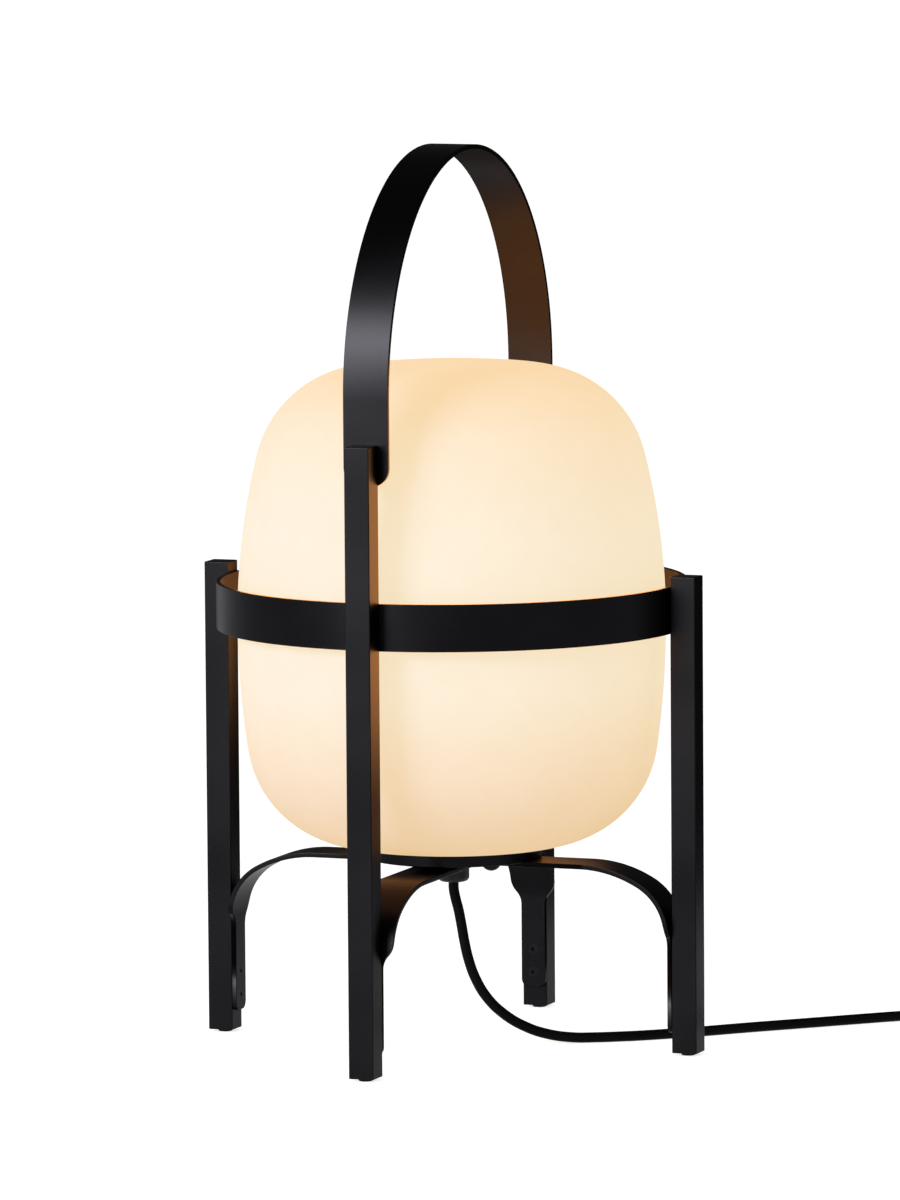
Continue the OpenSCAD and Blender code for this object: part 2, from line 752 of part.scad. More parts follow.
module cord_gland() {
    r = gland_d / 2;
    color(black_plastic) translate([0, 0, gland_z]) difference() {
        rotate_extrude() polygon(concat([[0, 0]],
            arc([r - gland_edge_r, gland_edge_r], gland_edge_r, -90, 0, 8), [[r, gland_h], [0, gland_h]]));
        translate([0, 0, -e]) cylinder(r = wire_bore_r, h = gland_h);
        translate([0, 0, gland_h - tube_seat]) cylinder(d = tube_hole_d, h = tube_seat + e);
    }
}

module threaded_tube() {
    color(steel) translate([0, 0, tube_z]) difference() {
        cylinder(d = tube_d, h = tube_top - tube_z);
        translate([0, 0, -e]) cylinder(d = tube_bore, h = tube_top - tube_z + 2 * e);
    }
}

module lock_nut() {
    color(steel) translate([0, 0, floor_z]) difference() {
        cylinder(d = nut_af / cos(30), h = nut_t, $fn = 6);
        translate([0, 0, -e]) cylinder(d = tube_hole_d, h = nut_t + 2 * e);
    }
}

// Two insulated cores up the tube and out to the terminals
module core_wires() {
    color(cord_black) for (side = [-1, 1])
        cord([[side * wire_x, 0, gland_z], [side * wire_x, 0, wire_bend_z],
            [side * wire_end_x, 0, wire_end_z - 2], [side * wire_end_x, 0, wire_end_z]], 8, core_wire_d / 2);
}

module holder_cap() {
    ledge = holder_in - 2;
    color(black_plastic) rotate_extrude() polygon([[tube_hole_d / 2, nut_z], [holder_r - 5, nut_z],
        [holder_r, nut_z + 5], [holder_r, sleeve_z], [holder_in, sleeve_z], [holder_in, core_z],
        [ledge, core_z], [ledge, nut_z + holder_wall + 3.5], [ledge - 3.5, nut_z + holder_wall],
        [tube_hole_d / 2, nut_z + holder_wall]]);
}

module holder_sleeve() {
    bore = socket_out + socket_gap;
    color(black_plastic) rotate_extrude() polygon([[holder_in, sleeve_z], [holder_r, sleeve_z],
        [holder_r, socket_top], [holder_r - 1, socket_top + 1], [bore, socket_top + 1],
        [bore, core_top + socket_gap], [holder_in, core_top + socket_gap]]);
}

module holder_core() {
    color(ceramic) difference() {
        translate([0, 0, core_z]) cylinder(r = core_r, h = core_h);
        for (side = [-1, 1]) translate([side * terminal_x, 0, core_z - e])
            cylinder(d = terminal_d + 2 * fit, h = terminal_depth + hole_spare + e);
    }
}

module socket_shell() {
    color(brass) translate([0, 0, core_top]) difference() {
        cylinder(r = socket_out, h = socket_h);
        translate([0, 0, -e]) cylinder(d = socket_d, h = socket_h + 2 * e);
    }
}

module centre_contact() {
    color(brass) translate([0, 0, core_top]) rotate_extrude()
        polygon([[0, 0], [contact_d / 2, 0], [contact_d / 2, 0.8], [contact_d / 2 - 2, 2], [0, 2]]);
}

module terminal_screws() {
    color(brass) for (side = [-1, 1]) translate([side * terminal_x, 0, core_z]) {
        translate([0, 0, -terminal_head_h]) cylinder(d = terminal_head_d, h = terminal_head_h);
        translate([0, 0, -1]) cylinder(d = terminal_d, h = terminal_depth + 1);
    }
}

module bulb_glass() {
    color(clear_glass) rotate_extrude() polygon(concat(bulb_outline(0), reversed(bulb_outline(bulb_t))));
}

module bulb_cap() {
    color(steel) translate([0, 0, cap_z]) difference() {
        cylinder(d = cap_d, h = cap_h);
        translate([0, 0, -e]) cylinder(r = cap_in, h = cap_h + 2 * e);
    }
}

module bulb_insulator() {
    r = cap_in - fit;
    color(black_plastic) translate([0, 0, insulator_z]) rotate_extrude()
        polygon([[0, 0], [tip_d / 2 + 0.5, 0], [r, insulator_cone], [r, insulator_cone + insulator_rim],
            [0, insulator_cone + insulator_rim]]);
}

module bulb_contact() {
    color(brass) translate([0, 0, bulb_z]) rotate_extrude()
        polygon([[0, 0], [tip_d / 2 - 1, 0], [tip_d / 2, tip_h], [0, tip_h]]);
}

module bulb_stem() {
    color(clear_glass) {
        translate([0, 0, bulb_start]) cylinder(r = bulb_neck_r - bulb_t - fit, h = stem_base);
        translate([0, 0, bulb_start]) cylinder(d = stem_d, h = stem_top - bulb_start);
    }
}

module bulb_filaments() {
    wire_start = stem_d / 2 + fit;
    color(filament_yellow) for (angle = [45:90:315]) rotate([0, 0, angle]) {
        translate([filament_r, 0, filament_low]) cylinder(d = filament_d, h = filament_high - filament_low);
        for (z = [filament_low + 1, filament_high - 1]) translate([wire_start, 0, z]) rotate([0, 90, 0])
            cylinder(d = filament_wire_d, h = filament_r - wire_start);
    }
}

module globe_shade() {
    color(opal) rotate_extrude() polygon(concat(
        reversed(globe_below(0, neck_r)), [for (i = [1:len(globe_above(0)) - 1]) globe_above(0)[i]],
        reversed(globe_above(glass_t)), [for (i = [1:len(globe_below(glass_t, neck_in)) - 1])
            globe_below(glass_t, neck_in)[i]],
        [[neck_in, neck_z], [neck_r, neck_z]]));
}

// A cord of flat sides along a route, closed at both ends
module cord(route, sides, r = cord_r) {
    along = ways(route);
    up = carried(along, [0.8, 0, 0.6]);
    last = len(route) - 1;
    points = [for (i = [0:last]) for (k = [0:sides - 1]) let (a = 360 * k / sides)
        route[i] + r * (cos(a) * cross(along[i], up[i]) + sin(a) * up[i])];
    walls = [for (i = [0:last - 1]) for (k = [0:sides - 1])
        let (a = i * sides + k, b = i * sides + (k + 1) % sides)
        each [[a, b, b + sides], [a, b + sides, a + sides]]];
    start = [for (k = [1:sides - 2]) [0, k + 1, k]];
    finish = [for (k = [1:sides - 2]) last * sides * [1, 1, 1] + [0, k, k + 1]];
    polyhedron(points, concat(walls, start, finish));
}

module cord_lead() { color(cord_black) cord(lead_route, cord_sides); }
module cord_link() { color(cord_black) cord(link_route, cord_sides); }
module cord_coil() { color(cord_black) cord(coil_route, coil_sides); }
module cord_tail() { color(cord_black) cord(tail_route, cord_sides); }

// A flat band round all turns of the coil
module coil_tie() {
    near = coil_radius(coil_turns - 0.5) - cord_r - tie_inner_clear;
    far = coil_radius(0.25) + cord_r + tie_side_clear;
    high = coil_high + cord_r + tie_clear;
    hole = [far - near, high - tie_low - tie_t];
    color(cord_black) translate([coil_at[0], coil_at[1], 0]) rotate([0, 0, tie_turn])
        translate([(near + far) / 2, 0, tie_low + tie_t + hole[1] / 2]) rotate([90, 0, 0])
        linear_extrude(tie_w, center = true) difference() {
            rounded(hole + 2 * [tie_t, tie_t], tie_corner);
            rounded(hole, tie_corner - tie_t);
        }
}

// A place in the switch: its middle on the floor, +X the way that the cord runs through it
module at_switch() {
    translate([switch_at[0], switch_at[1], 0]) rotate([0, 0, switch_turn])
        translate([switch_len / 2, 0, 0]) children();
}

module switch_outline(inset) {
    rounded([switch_len, switch_w] - 2 * [inset, inset], switch_r - inset);
}

module at_bosses() {
    for (side = boss_sides) translate([side[0] * boss_at[0], side[1] * boss_at[1], 0]) children();
}

module switch_base() {
    foot = switch_wall / 2;
    color(black_plastic) at_switch() difference() {
        union() {
            difference() {
                linear_extrude(switch_split) switch_outline(0);
                translate([0, 0, switch_wall]) linear_extrude(switch_split) switch_outline(switch_wall);
            }
            at_bosses() translate([0, 0, foot]) cylinder(d = boss_d, h = switch_split - foot);
            for (side = [-1, 1]) translate([0, side * (ear_in + ear_t / 2), (ear_top + foot) / 2])
                cube([ear_len, ear_t, ear_top - foot], center = true);
        }
        at_bosses() {
            translate([0, 0, -e]) cylinder(d = case_screw_d + 2 * fit, h = switch_split + 2 * e);
            cylinder(d1 = case_screw_head + 2 * fit, d2 = case_screw_d + 2 * fit,
                h = (case_screw_head - case_screw_d) / 2);
        }
        translate([0, 0, pivot_z]) rotate([90, 0, 0])
            cylinder(d = pivot_d + 2 * fit, h = 2 * (ear_in + ear_t + e), center = true);
    }
}

module switch_cover() {
    color(black_plastic) at_switch() difference() {
        union() {
            difference() {
                translate([0, 0, switch_split]) linear_extrude(switch_h - switch_split) switch_outline(0);
                translate([0, 0, switch_split - e]) linear_extrude(switch_lid - switch_split + e)
                    switch_outline(switch_wall);
            }
            at_bosses() translate([0, 0, switch_split])
                cylinder(d = boss_d, h = switch_lid - switch_split + 1);
        }
        at_bosses() translate([0, 0, switch_split - e])
            cylinder(d = case_screw_d + 2 * fit, h = case_screw_len - switch_split + hole_spare + e);
        translate([-rocker_len / 2 - rocker_gap, -ear_in, switch_lid - e])
            cube([rocker_len + 2 * rocker_gap, 2 * ear_in, switch_wall + 2 * e]);
    }
}

module switch_rocker() {
    low = -2.5;
    side = 1.5;
    high = switch_h + 0.2 - pivot_z;
    tip = high + rocker_x * tan(rocker_travel / 2) - 0.15;
    half = [[0, low], [rocker_x - 3.4, low], [rocker_x - 0.2, side], [rocker_x, tip], [0, high]];
    color(black_plastic) at_switch() translate([0, 0, pivot_z]) rotate([90, rocker_travel / 2, 0]) {
        linear_extrude(rocker_w, center = true)
            polygon(concat(half, [for (p = mirrored(half)) if (p[0] < 0) p]));
        cylinder(d = pivot_d, h = 2 * (ear_in + ear_t - 0.5), center = true);
    }
}

module switch_screws() {
    color(steel) at_switch() at_bosses() {
        cylinder(d1 = case_screw_head, d2 = case_screw_d, h = (case_screw_head - case_screw_d) / 2);
        cylinder(d = case_screw_d, h = case_screw_len);
    }
}

// Two contact strips on the floor of the switch, with ends turned up under the rocker
module switch_contacts() {
    color(brass) at_switch() for (turn = [0, 180]) rotate([0, 0, turn])
        translate([strip_start, -strip_w / 2, switch_wall]) {
            cube([strip_end - strip_start, strip_w, strip_t]);
            cube([strip_t, strip_w, strip_rise]);
        }
}

// A place on the plug: the small end of the strain relief, +X the way that the pins point
module at_plug() {
    translate([plug_at[0], plug_at[1], plug_axis]) rotate([0, 0, plug_turn]) children();
}

module plug_relief() {
    color(rubber) at_plug() rotate([0, 90, 0]) cylinder(r1 = relief_r[0], r2 = relief_r[1], h = relief_len);
}

module plug_body() {
    half = plug_w / 2;
    face = relief_len + plug_len;
    color(black_plastic) at_plug() difference() {
        intersection() {
            linear_extrude(plug_t, center = true) polygon([[relief_len, -plug_neck], [relief_len, plug_neck],
                [relief_len + plug_slope, half], [face - 2, half], [face, half - 2],
                [face, 2 - half], [face - 2, -half], [relief_len + plug_slope, -half]]);
            rotate([90, 0, 90]) linear_extrude(face) rounded([plug_w, plug_t], plug_round);
        }
        at_pins() translate([0, 0, -pin_seat]) cylinder(d = pin_root_d + 2 * fit, h = pin_seat + e);
    }
}

// The middle of each pin where it leaves the plug's face, +Z the way that it points
module at_pins() {
    for (side = [-1, 1]) translate([relief_len + plug_len, side * pin_pitch / 2, 0]) rotate([0, 90, 0])
        children();
}

module plug_pins() {
    tip = pin_len - pin_d / 2;
    color(steel) at_plug() at_pins() {
        translate([0, 0, fit - pin_seat]) cylinder(d = pin_root_d, h = tip + pin_seat - fit);
        translate([0, 0, pin_sleeve_len]) cylinder(d = pin_d, h = tip - pin_sleeve_len);
        translate([0, 0, tip]) sphere(d = pin_d);
    }
}

module pin_sleeves() {
    color(black_plastic) at_plug() at_pins() difference() {
        cylinder(d = pin_sleeve_d, h = pin_sleeve_len);
        translate([0, 0, -e]) cylinder(d = pin_root_d + 2 * fit, h = pin_sleeve_len + 2 * e);
    }
}

post_front();
post_back();
post_left();
post_right();
glide_feet();
handle_strap();
handle_screws();
belt_ring();
belt_screws();
arch_upper();
arch_lower();
arch_screws();
globe_dish();
dish_screws();
dish_nuts();
neck_gasket();
neck_springs();
spring_rivets();
cord_gland();
threaded_tube();
lock_nut();
core_wires();
holder_cap();
holder_sleeve();
holder_core();
socket_shell();
centre_contact();
terminal_screws();
bulb_glass();
bulb_cap();
bulb_insulator();
bulb_contact();
bulb_stem();
bulb_filaments();
globe_shade();
cord_lead();
switch_base();
switch_cover();
switch_rocker();
switch_screws();
switch_contacts();
cord_link();
cord_coil();
coil_tie();
cord_tail();
plug_relief();
plug_body();
plug_pins();
pin_sleeves();
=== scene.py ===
import math

import bmesh
import bpy
from mathutils import Matrix, Vector


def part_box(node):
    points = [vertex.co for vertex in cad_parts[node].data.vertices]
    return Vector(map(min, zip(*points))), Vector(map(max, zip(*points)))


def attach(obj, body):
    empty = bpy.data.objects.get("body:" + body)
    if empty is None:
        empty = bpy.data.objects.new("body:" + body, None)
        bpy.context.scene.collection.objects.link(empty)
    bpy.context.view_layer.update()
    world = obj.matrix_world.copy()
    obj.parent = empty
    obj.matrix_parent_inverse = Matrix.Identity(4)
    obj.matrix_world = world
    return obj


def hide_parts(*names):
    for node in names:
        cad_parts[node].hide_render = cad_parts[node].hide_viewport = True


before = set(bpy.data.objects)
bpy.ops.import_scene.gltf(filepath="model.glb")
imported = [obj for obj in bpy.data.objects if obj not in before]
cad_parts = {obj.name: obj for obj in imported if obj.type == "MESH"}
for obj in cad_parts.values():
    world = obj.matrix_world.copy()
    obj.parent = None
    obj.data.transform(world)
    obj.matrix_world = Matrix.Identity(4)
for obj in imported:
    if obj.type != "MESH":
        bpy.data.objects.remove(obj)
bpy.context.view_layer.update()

# ---------------------------------------------------------------- The view
# A long lens nearly a metre above the table, a little to the right of the front post. The
# whole lamp stands in a portrait picture, and the cord leaves it on the right.

camera_data = bpy.data.cameras.new("camera")
camera_data.sensor_width = 36
camera_data.lens = 279.88
camera_data.clip_end = 200
camera = bpy.data.objects.new("camera", camera_data)
bpy.context.collection.objects.link(camera)
camera_place = Vector((2.02273, -5.37697, 0.91907))
camera_right = Vector((0.93615, 0.35152, -0.00701)).normalized()
camera_up = Vector((-0.0325, 0.10638, 0.99379))
camera_back = camera_right.cross(camera_up).normalized()
camera_turn = Matrix((camera_right, camera_back.cross(camera_right), camera_back)).transposed()
camera.matrix_world = Matrix.Translation(camera_place) @ camera_turn.to_4x4()
bpy.context.scene.camera = camera
bpy.context.scene.view_settings.view_transform = "Standard"

# ---------------------------------------------------------------- The studio
# A white table that runs on out of sight, white walls all round, and soft boxes at the left
# front. Grey cards behind and above the lamp show in reflections only and keep the coat black.

room_light = 0.35
table_white = 0.78


def white_for_the_eye(nodes, links):
    """A mask that is 1 for what the camera sees straight, in a reflection or through glass."""
    path = nodes.new("ShaderNodeLightPath")
    seen = path.outputs["Is Camera Ray"]
    for other in ("Is Glossy Ray", "Is Transmission Ray"):
        either = nodes.new("ShaderNodeMath")
        either.operation = "MAXIMUM"
        links.new(seen, either.inputs[0])
        links.new(path.outputs[other], either.inputs[1])
        seen = either.outputs[0]
    return seen


world = bpy.data.worlds.new("white_room")
bpy.context.scene.world = world
world.use_nodes = True
nodes, links = world.node_tree.nodes, world.node_tree.links
brightness = nodes.new("ShaderNodeMapRange")
brightness.inputs["To Min"].default_value = room_light
brightness.inputs["To Max"].default_value = 1
links.new(white_for_the_eye(nodes, links), brightness.inputs["Value"])
nodes["Background"].inputs["Color"].default_value = (1, 1, 1, 1)
links.new(brightness.outputs["Result"], nodes["Background"].inputs["Strength"])

table_paint = bpy.data.materials.new("table_paint")
table_paint.use_nodes = True
nodes, links = table_paint.node_tree.nodes, table_paint.node_tree.links
shader = nodes["Principled BSDF"]
shader.inputs["Base Color"].default_value = (0.8, 0.8, 0.8, 1)
shader.inputs["Roughness"].default_value = 0.9
shader.inputs["Specular IOR Level"].default_value = 0
shader.inputs["Emission Color"].default_value = (1, 1, 1, 1)
glow = nodes.new("ShaderNodeMath")
glow.operation = "MULTIPLY"
glow.inputs[1].default_value = table_white
links.new(white_for_the_eye(nodes, links), glow.inputs[0])
links.new(glow.outputs[0], shader.inputs["Emission Strength"])


def studio_sheet(name, place, material):
    """A flat sheet of the studio, two metres wide before its place scales and turns it."""
    bm = bmesh.new()
    bmesh.ops.create_grid(bm, x_segments=1, y_segments=1, size=1, matrix=place)
    mesh = bpy.data.meshes.new(name)
    bm.to_mesh(mesh)
    bm.free()
    mesh.materials.append(material)
    sheet = bpy.data.objects.new(name, mesh)
    bpy.context.collection.objects.link(sheet)
    return sheet


studio_sheet("table_top", Matrix.Diagonal((60, 60, 1, 1)), table_paint)


def grey_card(name, place, size, grey):
    """A card of an even grey that shows in reflections only, given half its width and height."""
    paint = bpy.data.materials.new(name)
    paint.use_nodes = True
    shader = paint.node_tree.nodes["Principled BSDF"]
    shader.inputs["Base Color"].default_value = (0.01, 0.01, 0.01, 1)
    shader.inputs["Specular IOR Level"].default_value = 0
    shader.inputs["Emission Color"].default_value = (1, 1, 1, 1)
    shader.inputs["Emission Strength"].default_value = grey
    card = studio_sheet(name, place @ Matrix.Diagonal((*size, 1, 1)), paint)
    card.visible_camera = card.visible_diffuse = card.visible_shadow = card.visible_transmission = False


upright = Matrix.Rotation(math.pi / 2, 4, "X")
grey_card("card_behind", Matrix.Translation((0.15, 0.56, 0.5)) @ upright, (0.8, 0.7), 0.06)
grey_card("card_above", Matrix.Translation((0, -0.4, 1.75)), (1.4, 1.5), 0.15)


def soft_box(name, place, target, size, power, lights_matt=True):
    """A rectangular lamp turned to its target. Without lights_matt it shows in reflections only."""
    data = bpy.data.lights.new(name, "AREA")
    data.shape = "RECTANGLE"
    data.size, data.size_y = size
    data.energy = power
    lamp = bpy.data.objects.new(name, data)
    bpy.context.collection.objects.link(lamp)
    facing = (Vector(target) - Vector(place)).to_track_quat("-Z", "Y")
    lamp.matrix_world = Matrix.Translation(place) @ facing.to_matrix().to_4x4()
    lamp.visible_diffuse = lights_matt


lamp_middle = (0, 0, 0.27)
soft_box("key_box", (-0.7, -1.95, 1.0), lamp_middle, (0.8, 0.5), 20)
soft_box("key_gleam", (-0.75, -1.97, 1.32), lamp_middle, (1.1, 0.6), 72, lights_matt=False)
soft_box("low_gleam", (-1.08, -2.95, 0.63), (0, 0, 0.3), (1.3, 0.7), 37, lights_matt=False)

# ---------------------------------------------------------------- Posts
# Four square steel bars, sawn to length with their edges broken and powder coated satin
# black. The front and back ones are taller and carry the handle.

mm = 0.001
ALL_ROUND = 2 * math.pi
grain_depth = 0.1 * mm


def finish_group(name):
    """An empty node group with the inputs and outputs that every finish has, and its two ends."""
    group = bpy.data.node_groups.new(name, "ShaderNodeTree")
    inputs = (("Dark", "Color"), ("Light", "Color"), ("Fineness", "Float"),
              ("Smooth", "Float"), ("Rough", "Float"), ("Relief", "Float"))
    for label, kind in inputs:
        group.interface.new_socket(name=label, in_out="INPUT", socket_type="NodeSocket" + kind)
    for label, kind in (("Color", "Color"), ("Roughness", "Float"), ("Normal", "Vector")):
        group.interface.new_socket(name=label, in_out="OUTPUT", socket_type="NodeSocket" + kind)
    return group, group.nodes.new("NodeGroupInput"), group.nodes.new("NodeGroupOutput")


def lay_finish(group, given, out, spread, height, depth):
    """Turns a pattern into colour and roughness, and its height into relief of a given depth."""
    nodes, links = group.nodes, group.links
    colour = nodes.new("ShaderNodeMix")
    colour.data_type = "RGBA"
    links.new(spread, colour.inputs["Factor"])
    links.new(given.outputs["Dark"], colour.inputs["A"])
    links.new(given.outputs["Light"], colour.inputs["B"])
    rough = nodes.new("ShaderNodeMapRange")
    links.new(spread, rough.inputs["Value"])
    links.new(given.outputs["Smooth"], rough.inputs["To Min"])
    links.new(given.outputs["Rough"], rough.inputs["To Max"])
    relief = nodes.new("ShaderNodeBump")
    relief.inputs["Distance"].default_value = depth
    links.new(height, relief.inputs["Height"])
    links.new(given.outputs["Relief"], relief.inputs["Strength"])
    links.new(colour.outputs["Result"], out.inputs["Color"])
    links.new(rough.outputs["Result"], out.inputs["Roughness"])
    links.new(relief.outputs["Normal"], out.inputs["Normal"])


def fine_grain():
    """The grain of a coat or a moulding: colour, roughness and relief, at any fineness."""
    group, given, out = finish_group("fine_grain")
    nodes, links = group.nodes, group.links
    where = nodes.new("ShaderNodeTexCoord")
    grains, clouds = nodes.new("ShaderNodeTexNoise"), nodes.new("ShaderNodeTexNoise")
    clouds.inputs["Scale"].default_value = 14
    grains.inputs["Detail"].default_value = 3
    for noise in (grains, clouds):
        links.new(where.outputs["Object"], noise.inputs["Vector"])
    links.new(given.outputs["Fineness"], grains.inputs["Scale"])
    both = nodes.new("ShaderNodeMath")
    both.operation = "MULTIPLY_ADD"
    both.inputs[1].default_value = 0.5
    half = nodes.new("ShaderNodeMath")
    half.operation = "MULTIPLY"
    half.inputs[1].default_value = 0.5
    links.new(clouds.outputs["Fac"], half.inputs[0])
    links.new(grains.outputs["Fac"], both.inputs[0])
    links.new(half.outputs[0], both.inputs[2])
    spread = nodes.new("ShaderNodeMapRange")
    spread.inputs["From Min"].default_value = 0.36
    spread.inputs["From Max"].default_value = 0.64
    links.new(both.outputs[0], spread.inputs["Value"])
    lay_finish(group, given, out, spread.outputs["Result"], grains.outputs["Fac"], grain_depth)
    return group


grain = fine_grain()


def grained(name, dark, light, smooth, rough, fineness, relief, pattern=grain, **sockets):
    """A finish from a pattern of grain, with the shader's own constants in sockets."""
    material = bpy.data.materials.new(name)
    material.use_nodes = True
    nodes, links = material.node_tree.nodes, material.node_tree.links
    shader = nodes["Principled BSDF"]
    for socket, value in sockets.items():
        shader.inputs[socket.replace("_", " ")].default_value = value
    surface = nodes.new("ShaderNodeGroup")
    surface.node_tree = pattern
    surface.inputs["Dark"].default_value = (*dark, 1)
    surface.inputs["Light"].default_value = (*light, 1)
    surface.inputs["Smooth"].default_value = smooth
    surface.inputs["Rough"].default_value = rough
    surface.inputs["Fineness"].default_value = fineness
    surface.inputs["Relief"].default_value = relief
    links.new(surface.outputs["Color"], shader.inputs["Base Color"])
    links.new(surface.outputs["Roughness"], shader.inputs["Roughness"])
    links.new(surface.outputs["Normal"], shader.inputs["Normal"])
    return material


powder_coat = grained("powder_coat", (0.0055, 0.0055, 0.0062), (0.0085, 0.0085, 0.0096), 0.31, 0.37, 1500,
                      0.2, Metallic=1, Specular_Tint=(0.62, 0.62, 0.63, 1))


def round_edges(bm, edges, r, segments):
    """Rounds some edges of a mesh."""
    bmesh.ops.bevel(bm, geom=edges, offset=r, offset_type="OFFSET", segments=segments, profile=0.5,
                    affect="EDGES", material=-1)


def soften(bm, width, segments=2, sharper_than=50):
    """Rounds every edge at which the surface turns sharply."""
    sharp = [edge for edge in bm.edges if edge.calc_face_angle(0) > math.radians(sharper_than)]
    round_edges(bm, sharp, width, segments)


pieces = []


def add_piece(name, bm, material, slot, body, *nodes, smooth_under=35):
    """Puts a finished mesh on its body in place of its nodes, smooth except at its edges."""
    bmesh.ops.recalc_face_normals(bm, faces=bm.faces)
    mesh = bpy.data.meshes.new(name)
    bm.to_mesh(mesh)
    bm.free()
    mesh.shade_smooth()
    mesh.set_sharp_from_angle(angle=math.radians(smooth_under))
    mesh.materials.append(material)
    piece = bpy.data.objects.new(name, mesh)
    bpy.context.collection.objects.link(piece)
    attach(piece, body)
    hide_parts(*nodes)
    pieces.append(piece)
    return piece


def block(bm, low, high):
    """A plain block between two corners."""
    low, high = Vector(low), Vector(high)
    place = Matrix.Translation((low + high) / 2) @ Matrix.Diagonal((*(high - low), 1))
    return bmesh.ops.create_cube(bm, size=1, matrix=place)["verts"]


post_bevel = 0.6 * mm
for side in ("front", "back", "left", "right"):
    bm = bmesh.new()
    block(bm, *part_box("post_" + side))
    soften(bm, post_bevel, 3)
    add_piece("post_" + side + "_bar", bm, powder_coat, "frame", "lamp", "post_" + side)

# ---------------------------------------------------------------- Glide feet
# A turned rubber button under each post, pressed in by its stem, so that the steel doesn't
# scratch the table. It keeps the post just off the surface.

rubber = grained("rubber", (0.005, 0.005, 0.005), (0.009, 0.009, 0.009), 0.62, 0.8, 900, 0.5,
                Specular_IOR_Level=0.15)
foot_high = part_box("glide_feet")[1]
post_low, post_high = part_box("post_right")
post_axis = (post_low[0] + post_high[0]) / 2
foot_r = foot_high[0] - post_axis
foot_show = post_low[2]
foot_stem_r = 2.5 * mm
foot_edge = 0.35 * mm

bm = bmesh.new()
for turn in range(4):
    place = Matrix.Rotation(turn * math.pi / 2, 4, "Z") @ Matrix.Translation((post_axis, 0, 0))
    bmesh.ops.create_cone(bm, cap_ends=True, segments=48, radius1=foot_r, radius2=foot_r, depth=foot_show,
                          matrix=place @ Matrix.Translation((0, 0, foot_show / 2)))
    bmesh.ops.create_cone(bm, cap_ends=True, segments=24, radius1=foot_stem_r, radius2=foot_stem_r,
                          depth=foot_high[2] - foot_show,
                          matrix=place @ Matrix.Translation((0, 0, (foot_high[2] + foot_show) / 2)))
soften(bm, foot_edge)
add_piece("glide_buttons", bm, rubber, "feet", "lamp", "glide_feet")

# ---------------------------------------------------------------- Handle
# One length of flat bar, rolled to a half circle with two straight legs and round ends,
# coated like the posts. Two countersunk screws hold each leg to the inside of a tall post.

strap_t = 3 * mm
strap_edge = 0.4 * mm
screw_d = 4 * mm
screw_head_d = 7 * mm
screw_fit = 0.05 * mm
handle_low, handle_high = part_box("handle_strap")
handle_r = handle_high[1]
handle_centre = Vector((0, 0, handle_high[2] - handle_r))
handle_end_r = 11 * mm
handle_screws = (handle_low[2] + 7.5 * mm, handle_low[2] + 18.5 * mm)
same_place = 0.01 * mm


def rectangle(bm, low, high):
    """A level face between two corners, to be drawn out into a bar."""
    made = bmesh.ops.create_grid(bm, x_segments=1, y_segments=1, size=0.5)["verts"]
    low, high = Vector(low), Vector(high)
    bmesh.ops.transform(bm, verts=made, matrix=Matrix.Translation((low + high) / 2)
                        @ Matrix.Diagonal((*(high - low).xy, 1, 1)))
    return made[0].link_faces[0]


def draw_out(bm, face, step):
    """Draws a face straight on and gives the face at the new end."""
    made = bmesh.ops.extrude_face_region(bm, geom=[face])["geom"]
    bmesh.ops.translate(bm, vec=step, verts=[v for v in made if isinstance(v, bmesh.types.BMVert)])
    return next(f for f in made if isinstance(f, bmesh.types.BMFace))


def bend(bm, face, centre, axis, angle, steps):
    """Draws a face on round a bend and gives the face at the new end."""
    geometry = [face, *face.edges, *face.verts]
    made = bmesh.ops.spin(bm, geom=geometry, cent=centre, axis=axis, angle=angle, steps=steps)["geom_last"]
    return next(f for f in made if isinstance(f, bmesh.types.BMFace))


def round_corners(bm, z, along, r, segments=8):
    """Rounds a bar's corners at its end: the edges at a height that run along an axis."""
    across = 1 - along
    corners = [edge for edge in bm.edges
               if all(abs(v.co.z - z) < same_place for v in edge.verts)
               and abs(edge.verts[0].co[across] - edge.verts[1].co[across]) < same_place]
    round_edges(bm, corners, r, segments)


def turned(bm, outline, steps=64):
    """Turns an outline of (radius, height) round the Z axis, closed if it ends where it starts."""
    ring = outline[0] == outline[-1]
    verts = [bm.verts.new((r, 0, z)) for r, z in (outline[:-1] if ring else outline)]
    edges = [bm.edges.new(pair) for pair in zip(verts, verts[1:])]
    if ring:
        edges.append(bm.edges.new((verts[-1], verts[0])))
    bmesh.ops.spin(bm, geom=verts + edges, axis=(0, 0, 1), angle=ALL_ROUND, steps=steps, use_merge=True)
    bmesh.ops.remove_doubles(bm, verts=bm.verts, dist=same_place)
    bmesh.ops.recalc_face_normals(bm, faces=bm.faces)


def combine(piece, tool, how):
    """Cuts a piece with a tool's mesh, or keeps what both share, and throws the tool away."""
    mesh = bpy.data.meshes.new("tool")
    bmesh.ops.recalc_face_normals(tool, faces=tool.faces)
    tool.to_mesh(mesh)
    tool.free()
    tool_object = bpy.data.objects.new("tool", mesh)
    bpy.context.collection.objects.link(tool_object)
    cut = piece.modifiers.new("cut", "BOOLEAN")
    cut.operation = how
    cut.solver = "EXACT"
    cut.object = tool_object
    shape = bpy.data.meshes.new_from_object(piece.evaluated_get(bpy.context.evaluated_depsgraph_get()))
    piece.modifiers.remove(cut)
    old, piece.data = piece.data, shape
    shape.name = piece.name
    bpy.data.objects.remove(tool_object)
    bpy.data.meshes.remove(mesh)
    bpy.data.meshes.remove(old)


